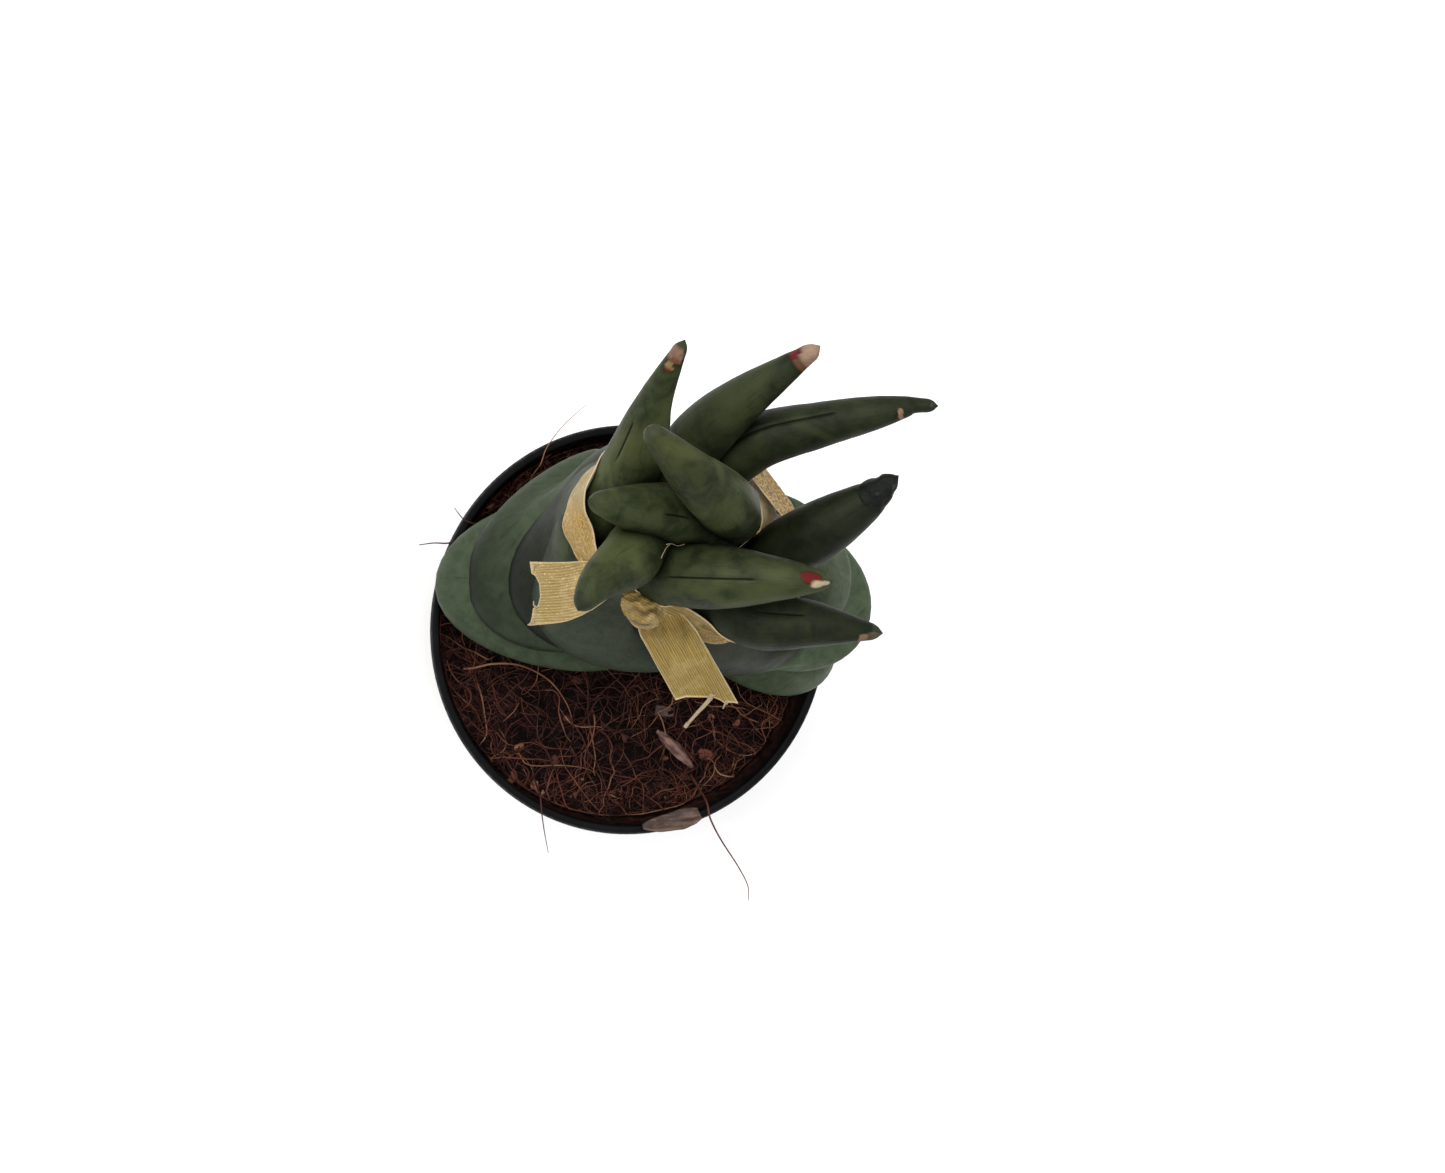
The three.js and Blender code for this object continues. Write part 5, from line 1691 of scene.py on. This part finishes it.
@dataclass
class Ribbon:
    """The gold ribbon round the leaves: band, inner wrap, knot, folded end and two tails. Millimetres."""

    width: float = 14.0
    thick: float = 0.3
    across: int = 56
    gather_reach: float = 8.0
    gather_share: float = 0.7
    tie: Tie = TIE
    satin: RibbonCloth = RibbonCloth()
    # The front tail's cloth: a darker, deeper gold copy of the same ribbon, painted shade.
    deep: RibbonCloth = RibbonCloth(
        name="gold_ribbon_front_painted_shade", gold=(0.290, 0.200, 0.050), pale=(0.400, 0.300, 0.110),
        shade=(0.150, 0.098, 0.018), fold=(0.085, 0.048, 0.005))
    # The inner wrap's cloth: a brighter copy of the same ribbon, painted light to lift the shade of the
    # leaf above it.
    painted_bright: RibbonCloth = RibbonCloth(
        name="gold_ribbon_inner_painted_bright", gold=(0.520, 0.390, 0.170), pale=(0.760, 0.640, 0.380),
        shade=(0.340, 0.240, 0.085), fold=(0.140, 0.080, 0.016), spark_gold=(0.800, 0.560, 0.160))
    # The knot's and the folded end's cloth: crumpled relief, in a darker copy of the gold that is partly
    # painted shade.
    crumpled: RibbonCloth = RibbonCloth(
        name="gold_ribbon_crumpled", face=RibbonFace.CRUMPLED, roughness=0.4, gold=(0.235, 0.160, 0.045),
        pale=(0.460, 0.350, 0.160), shade=(0.165, 0.108, 0.028), fold=(0.050, 0.026, 0.004),
        spark_gold=(0.420, 0.280, 0.070))

    BAND = (
        (21.2, 21.5, 152, 3.0), (19.1, 27.7, 152, 3.8), (15, 33.2, 152, 3.8), (10, 38.3, 152, 3.4),
        (1, 41.8, 154, 1.2), (-13, 42, 155, 0.5), (-25.8, 38, 155, -0.6), (-30, 33, 155, -0.2),
        (-31.2, 28, 155, 0.5), (-30.8, 24, 155, 1.6), (-29.2, 19.2, 155.5, 0.8), (-27.2, 15.4, 156.5, -1),
        (-22.8, 12.4, 155, 0), (-18, 9.2, 154, 0.6), (-13, 6.4, 153.6, 1.6), (-7.5, 4.2, 154, 2),
        (-1, 1.5, 153, 1), (5, -0.6, 151.6, 0.3), (12.5, 0.8, 151, 1), (19.6, 6.5, 152, 1.6),
        (22.4, 14, 152, 1.8),
    )
    INNER_WRAP = (
        (3, 39, 154, -0.8, -1.2, 6.6), (8, 35.4, 154, -2.6, -1.6, 6.2), (11.3, 32, 154, -3.6, -1.4, 5.9),
        (13.4, 28.4, 154, -4, -0.2, 5.8), (12.9, 25, 154, -3.8, 1.4, 5.6), (9.6, 22.4, 154, -2.2, 1.4, 5),
        (5.5, 21, 154, -0.8, 1.8, 3.6),
    )
    TAIL_LEFT = (
        (-17.4, 9.6, 158.4, 0.6, 2, 1), (-22, 12.4, 158, 0.4, 3, 0.6), (-28, 11.2, 155.6, 0, 5.4, 0.2),
        (-33.5, 9.9, 153, -0.4, 6.5, 0), (-39.8, 9.5, 150.6, -0.4, 7, 0.2),
    )
    TAIL_FRONT = (
        (-14.5, 6.6, 158.6, 3.6, 0.6, 0), (-11.4, 2.2, 157, 6.4, 0.2, 0),
        (-5.8, -4.8, 151.5, 7.1, -0.3, 0.2), (2.6, -14.8, 142.2, 7.5, -0.4, 0),
    )
    FOLDED_END = (
        (-15.5, 6.4, 159.8, 0.8, 2.2, 1.2), (-10.5, 4.6, 158, 0.4, 2, 1), (-6.5, 3.3, 156.8, 0.3, 1.6, 0.9),
        (-3, 1.9, 155.8, 0.2, 1.1, 0.6), (2, 0.4, 154.4, 0.1, 0.6, 0.3), (7.6, -0.3, 153.4, 0, 0.12, 0.1),
    )
    CUT_LEFT = ((-1, 1.2), (-0.72, 0.5), (-0.45, 0.1), (-0.38, -1.0), (-0.1, -1.6), (0.3, -1.5),
                (0.56, -0.7), (0.62, 0.1), (1, 0.4))
    CUT_FRONT = ((-1, 0.3), (-0.62, -0.7), (-0.1, -0.9), (0.3, -0.8), (0.46, 0.2), (0.6, 1.9), (0.67, 0.7),
                 (0.85, 0.5), (1, 0.7))
    KNOT_PLACE = (-17.3, 6.2, 159.2)
    KNOT_SIZE = (5.2, 3.8, 3.4)
    KNOT_TURN = (0.2, -0.5)

    def _standing_rows(self, path: Sequence[Row]) -> list[Row]:
        """Rows of a standing band, gathered at the knot. The fourth number is how far it leans out."""
        rows = []
        for x, y, z, lean in path:
            away = unit(np.array([x - self.tie.x, y - self.tie.y]))
            gathered = math.exp(-(math.dist((x, y), self.KNOT_PLACE[:2]) / self.gather_reach) ** 2)
            upright = math.sqrt((self.width / 2) ** 2 - lean ** 2) * (1 - self.gather_share * gathered)
            z = z + (self.KNOT_PLACE[2] - z) * gathered
            rows.append((x, y, z, -away[0] * lean, -away[1] * lean, upright))
        return rows

    @staticmethod
    def _rumple(strength: float, seed: float) -> Callable[[float, float, np.ndarray], float]:
        """A height function of soft creases."""
        return lambda u, v, p: strength * (bumps(p, 5.0, seed) + 0.45 * bumps(p, 2.1, seed + 3))

    @staticmethod
    def _cut(line: Sequence[tuple[float, float]]) -> Callable[[float], float]:
        """How far a cut end reaches at a share of the width, from -1 to 1."""
        places, reaches = zip(*line)
        return lambda u: float(np.interp(u, places, reaches))

    def _band(self, leaves: BVHTree) -> Strip:
        """The wrap all round the leaves, glittery where it stands free at the right."""
        def glitter(p: np.ndarray) -> float:
            right = np.clip((p[0] + 2) / 8, 0, 1)
            left = 0.1
            if p[0] < -20:
                left = np.clip((31 - p[1]) / 6, 0, 1) * (0.65 + 0.6 * bumps(p, 3.0, 2.0))
            return float(right + np.clip(left, 0, 1))

        return Strip(self._standing_rows(self.BAND), self.thick, 10, 48, True, self._rumple(0.3, 1.0),
                     clear_of=leaves, glitter=glitter)

    def _inner_wrap(self, leaves: BVHTree) -> Strip:
        """The wrap inside it, which hugs the leaf that bends over it."""
        return Strip(self.INNER_WRAP, self.thick, 10, 36, False, self._rumple(0.35, 5.0),
                     clear_of=leaves, glitter=lambda p: float(np.clip((25.5 - p[1]) / 3, 0, 1)))

    def _tail_left(self) -> Strip:
        """The tail that lies to the left, its cut end hollowed."""
        def lie(u: float, v: float, p: np.ndarray) -> float:
            return 0.5 * u * u * min(1.0, v / 12) + 0.2 * bumps(p, 4.0, 2.0)

        return Strip(self.TAIL_LEFT, self.thick, 14, self.across, False, lie, self._cut(self.CUT_LEFT))

    def _tail_front(self) -> Strip:
        """The tail that hangs to the front, pleated at the knot and notched at its cut end."""
        def lie(u: float, v: float, p: np.ndarray) -> float:
            pleats = 0.55 * math.cos(u * 9 + 0.4 * v) + 0.4 * bumps(p, 1.8, 6.0)
            gathered = math.exp(-((v - 7.5) / 4.5) ** 2)
            return 0.4 * u * u + 0.22 * bumps(p, 4.5, 8.0) + gathered * pleats

        # A fan of painted shade below the knot.
        def shade(u: float, v: float) -> float:
            return math.exp(-((v - 6) / 3.6) ** 2) * (0.55 + 0.2 * math.cos(u * 7 + 0.4 * v))

        return Strip(self.TAIL_FRONT, self.thick, 16, self.across, False, lie, self._cut(self.CUT_FRONT),
                     shade=shade)

    def _fold(self, side: int, rows: int) -> Strip:
        """One of the two layers of the folded end: side 1 is the upper, -1 the lower."""
        path = []
        for i, row in enumerate(np.array(self.FOLDED_END[:rows])):
            share = 0.5 * side * (1 - 0.4 * i / len(self.FOLDED_END))
            place = row[:3] + share * row[3:] + (0, 0, 0.25 * side)
            path.append((*place, *(0.44 * row[3:])))
        return Strip(path, self.thick, 10, 20, False, self._rumple(0.12, 7.0 + side))

    def _knot(self) -> tuple[np.ndarray, Faces, np.ndarray]:
        """The crumpled lump where the ribbon crosses itself: vertices, faces and how deep in a fold."""
        rings, around = 60, 96
        lean, swing = self.KNOT_TURN
        turn = np.array(Matrix.Rotation(swing, 3, "Z") @ Matrix.Rotation(lean, 3, "Y"))
        centre, size = np.array(self.KNOT_PLACE), np.array(self.KNOT_SIZE)
        points, depth = [], []
        for i in range(1, rings):
            polar = math.pi * i / rings
            for j in range(around):
                angle = 2 * math.pi * j / around
                way = np.array([math.cos(polar), math.sin(polar) * math.cos(angle),
                                math.sin(polar) * math.sin(angle)])
                warp = 1.3 * bumps(way * 5, 2.6, 3.0) + 0.5 * bumps(way * 5, 1.1, 8.0)
                ridge = 1 - abs(math.sin(2.5 * angle + 2.2 * way[0] + 0.8 * warp + 0.4))
                flat = 0.9 + 0.1 * (abs(way) ** 4).sum() ** 0.25
                reach = flat + (0.20 * ridge ** 1.5 - 0.06) * math.sin(polar) + 0.03 * warp
                points.append(turn @ (way * reach * size) + centre)
                depth.append((1 - ridge) * math.sin(polar))
        ends = [turn @ np.array([size[0] * k, 0, 0]) + centre for k in (1, -1)]
        return np.vstack([points, ends]), fanned_faces(rings - 1, around), np.array(depth + [0.0, 0.0])

    def _knot_piece(self, material: bpy.types.Material) -> bpy.types.Object:
        """The knot as a piece, with the attributes that the cloth reads: painted shade in its fold valleys
        and more glitter on its ridges as a painted highlight.
        """
        vertices, faces, depth = self._knot()
        mesh = mesh_of(vertices, faces)
        set_attribute(mesh, "edge", np.zeros(len(vertices)))
        # Painted shade deep in the fold valleys.
        set_attribute(mesh, "shade", np.clip(depth * 2.6 - 1.5, 0, 1.0))
        # Glitter on the ridges, lighter there as a painted highlight.
        set_attribute(mesh, "glitter", np.clip(0.45 - depth, 0.0, 0.4))
        layer = mesh.uv_layers.new(name="cloth")
        for loop in mesh.loops:
            p = mesh.vertices[loop.vertex_index].co
            layer.data[loop.index].uv = (p.y + 0.5 * p.x, p.z + 0.3 * p.x)
        return add_object("ribbon_knot", mesh, material)

    def _threads(self, material: bpy.types.Material) -> bpy.types.Object:
        """Loose threads at the cut ends, and the thick bundle that hangs from the front one."""
        rng = random.Random(11)
        lines = [
            (((3.6, -13.4, 143.4), (3.0, -15.2, 142.8), (0.8, -18.1, 141.2), (-1.2, -20.8, 139.8)),
             0.62, 0.45),
            (((4.4, -13.6, 143.2), (3.2, -15.4, 142.6), (1.4, -17.6, 141.4), (0.2, -19.2, 140.8)),
             0.4, 0.6),
            (((-1.0, -20.4, 140.0), (-1.3, -20.9, 139.7), (-1.6, -21.4, 139.4)), 0.5, 0.1),
            (((7.6, -14.4, 142.6), (7.4, -15.8, 142.0), (6.9, -17.2, 141.6)), 0.34, 0.6),
            (((-38.6, 15.8, 151), (-39.5, 15.6, 151), (-39.7, 14.4, 150.9)), 0.22, 0.5),
            (((-39.0, 6.4, 151), (-39.6, 7.0, 150.9), (-39.6, 7.9, 150.8)), 0.22, 0.5),
            (((-39.6, 3.6, 151), (-40.4, 3.0, 151), (-41.0, 2.6, 150.9)), 0.26, 0.5),
        ]
        for _ in range(14):
            y = rng.uniform(5, 15)
            reach = 0.15 + 0.3 * rng.random()
            x = -39.0 + 1.2 * (1 - abs((y - 10.4) / 6) ** 2)
            middle = (x - reach * 0.4, y + rng.uniform(-0.2, 0.2), 150.9)
            end = (x - reach, y + rng.uniform(-0.3, 0.3), 150.9 + rng.uniform(-0.2, 0.2))
            lines.append((((x + 0.8, y, 150.9), middle, end), 0.07, 0.6))
        return self._strands("ribbon_threads", lines, 8, 6, material)

    def _silver_hairs(self, material: bpy.types.Material) -> bpy.types.Object:
        """The few loose hairs caught between the leaves."""
        lines = (
            ((-16.9, 17.0, 172.4), (-16.3, 18.2, 172.3), (-15.3, 19.4, 171.4), (-14.0, 20.2, 170.2)),
            ((-15.4, 20.0, 171.4), (-13.8, 20.2, 169.8), (-12.0, 19.8, 168.2), (-10.2, 20.2, 167.8)),
            ((2.4, 19.4, 166.6), (2.9, 20.2, 168.2), (3.2, 21.1, 170.8)),
        )
        return self._strands("ribbon_hairs", [(line, 0.11, 6 / 11) for line in lines], 6, 8, material)

    @staticmethod
    def _strands(name: str, lines: Sequence[tuple], sides: int, per_span: int,
                 material: bpy.types.Material) -> bpy.types.Object:
        """Thin round strands as one piece.

        Args:
            name: the piece's name.
            lines: each strand's points, its radius, and the share of it that is lost towards its end.
            sides: how many sides a strand has.
            per_span: steps between two points.
            material: the cloth.

        Returns:
            The piece.
        """
        parts = [tube(points, lambda s, r=radius, t=taper: r * (1 - t * s), sides, per_span)
                 for points, radius, taper in lines]
        mesh = mesh_of(*joined(parts))
        set_attribute(mesh, "edge", np.full(len(mesh.vertices), 1.0))
        mesh.uv_layers.new(name="cloth")
        return add_object(name, mesh, material)

    def _declare(self, piece: bpy.types.Object, strip: Strip, held: str, *on_it: bpy.types.Object) -> None:
        """Works out a strip's flat size: the ribbon's full width, its length along the middle and its area,
        and keeps none of it.
        """
        width, length, area = strip.flat_size()

    def build(self, leaves: BVHTree) -> None:
        """Makes the ribbon's pieces.

        Args:
            leaves: the leaves' surface, which the band hugs.
        """
        satin, crumpled = self.satin.material(), self.crumpled.material()
        band, inner, left, front = sheets = (
            self._band(leaves), self._inner_wrap(leaves), self._tail_left(), self._tail_front())
        names = ("ribbon_band", "ribbon_inner_wrap", "ribbon_tail_left", "ribbon_tail_front")
        # The same ribbon in lit and shaded copies: the inner wrap's cloth is painted brighter, the front
        # tail's painted darker.
        cloths = (satin, self.painted_bright.material(), satin, self.deep.material())
        pieces = [strip.build(name, cloth) for strip, name, cloth in zip(sheets, names, cloths)]
        small = [self._fold(1, 4).build("ribbon_fold_upper", crumpled),
                 self._fold(-1, 6).build("ribbon_fold_lower", crumpled),
                 self._knot_piece(crumpled), self._threads(satin), self._silver_hairs(satin)]
        settle(pieces[0], "ribbon", "ribbon")
        for piece in (*pieces[1:], *small):
            settle(piece, "ribbon")
        self._declare(pieces[0], band, "folded")
        self._declare(pieces[1], inner, "folded")
        self._declare(pieces[2], left, "laid")
        self._declare(pieces[3], front, "hung", *small)


@dataclass
class Studio:
    """The pale floor, the soft light and the camera at the photograph's place."""

    camera_place: Point = (-0.126996, 0.011074, 0.553438)
    elevation: float = 72.0
    lens: float = 46.649
    sensor: float = 36.0
    sky: float = 0.85
    lit_place: Point = (0.0, 0.0, 0.12)
    floor_half: float = 4.0

    def _camera(self) -> None:
        """The camera, looking along +X and steeply down."""
        data = bpy.data.cameras.new("camera")
        data.lens = self.lens
        data.sensor_width = self.sensor
        camera = new_object("camera", data)
        dip = math.radians(self.elevation)
        forward = Vector((math.cos(dip), 0, -math.sin(dip)))
        right = Vector((0, 1, 0)).cross(forward) * -1
        camera.matrix_world = Matrix((
            (right.x, 0, -forward.x, self.camera_place[0]),
            (right.y, 1, -forward.y, self.camera_place[1]),
            (right.z, 0, -forward.z, self.camera_place[2]),
            (0, 0, 0, 1)))
        bpy.context.scene.camera = camera

    def _light(self, name: str, place: Point, size: float, power: float, colour: Colour) -> None:
        """A square lamp that faces the plant."""
        data = bpy.data.lights.new(name, "AREA")
        data.size = size
        data.energy = power
        data.color = colour
        lamp = new_object(name, data)
        lamp.location = place
        lamp.rotation_mode = "QUATERNION"
        lamp.rotation_quaternion = (Vector(self.lit_place) - Vector(place)).to_track_quat("-Z", "Y")

    def build(self) -> None:
        """Sets the stage."""
        mesh = bpy.data.meshes.new("floor")
        far = self.floor_half
        corners = [(-far, -far, 0), (far, -far, 0), (far, far, 0), (-far, far, 0)]
        mesh.from_pydata(corners, [], [(0, 1, 2, 3)])
        paper = bpy.data.materials.new("paper_floor")
        paper.use_nodes = True
        shader = paper.node_tree.nodes["Principled BSDF"]
        shader.inputs["Base Color"].default_value = (0.92, 0.92, 0.92, 1)
        shader.inputs["Roughness"].default_value = 0.95
        floor = add_object("floor", mesh, paper)
        world = bpy.data.worlds.new("soft_sky")
        world.use_nodes = True
        background = world.node_tree.nodes["Background"]
        background.inputs["Strength"].default_value = self.sky
        background.inputs["Color"].default_value = (1, 1, 1, 1)
        bpy.context.scene.world = world
        self._light("window", (-0.55, 0.35, 0.95), 0.7, 9.0, (1.0, 0.98, 0.95))
        self._light("ceiling", (0.1, 0.1, 1.3), 1.0, 7.0, (1.0, 1.0, 1.0))
        self._camera()
        bpy.context.scene.view_settings.view_transform = "Standard"


def surface_of(pieces: Sequence[bpy.types.Object]) -> BVHTree:
    """One search tree over the outside of several pieces."""
    parts = [(np.array([v.co for v in p.data.vertices]), [list(f.vertices) for f in p.data.polygons])
             for p in pieces]
    vertices, faces = joined(parts)
    return BVHTree.FromPolygons(vertices.tolist(), faces)


def main() -> None:
    """Dresses the frame, from the pot up."""
    logging.basicConfig(level=logging.INFO, format="%(name)s %(message)s")
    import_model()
    Studio().build()
    Pot().build()
    leaves = Leaves().build()
    surface = surface_of(leaves)
    SoilBed().build(surface)
    LooseHusk().build()
    Ribbon().build(surface)


if __name__ == "__main__":
    main()
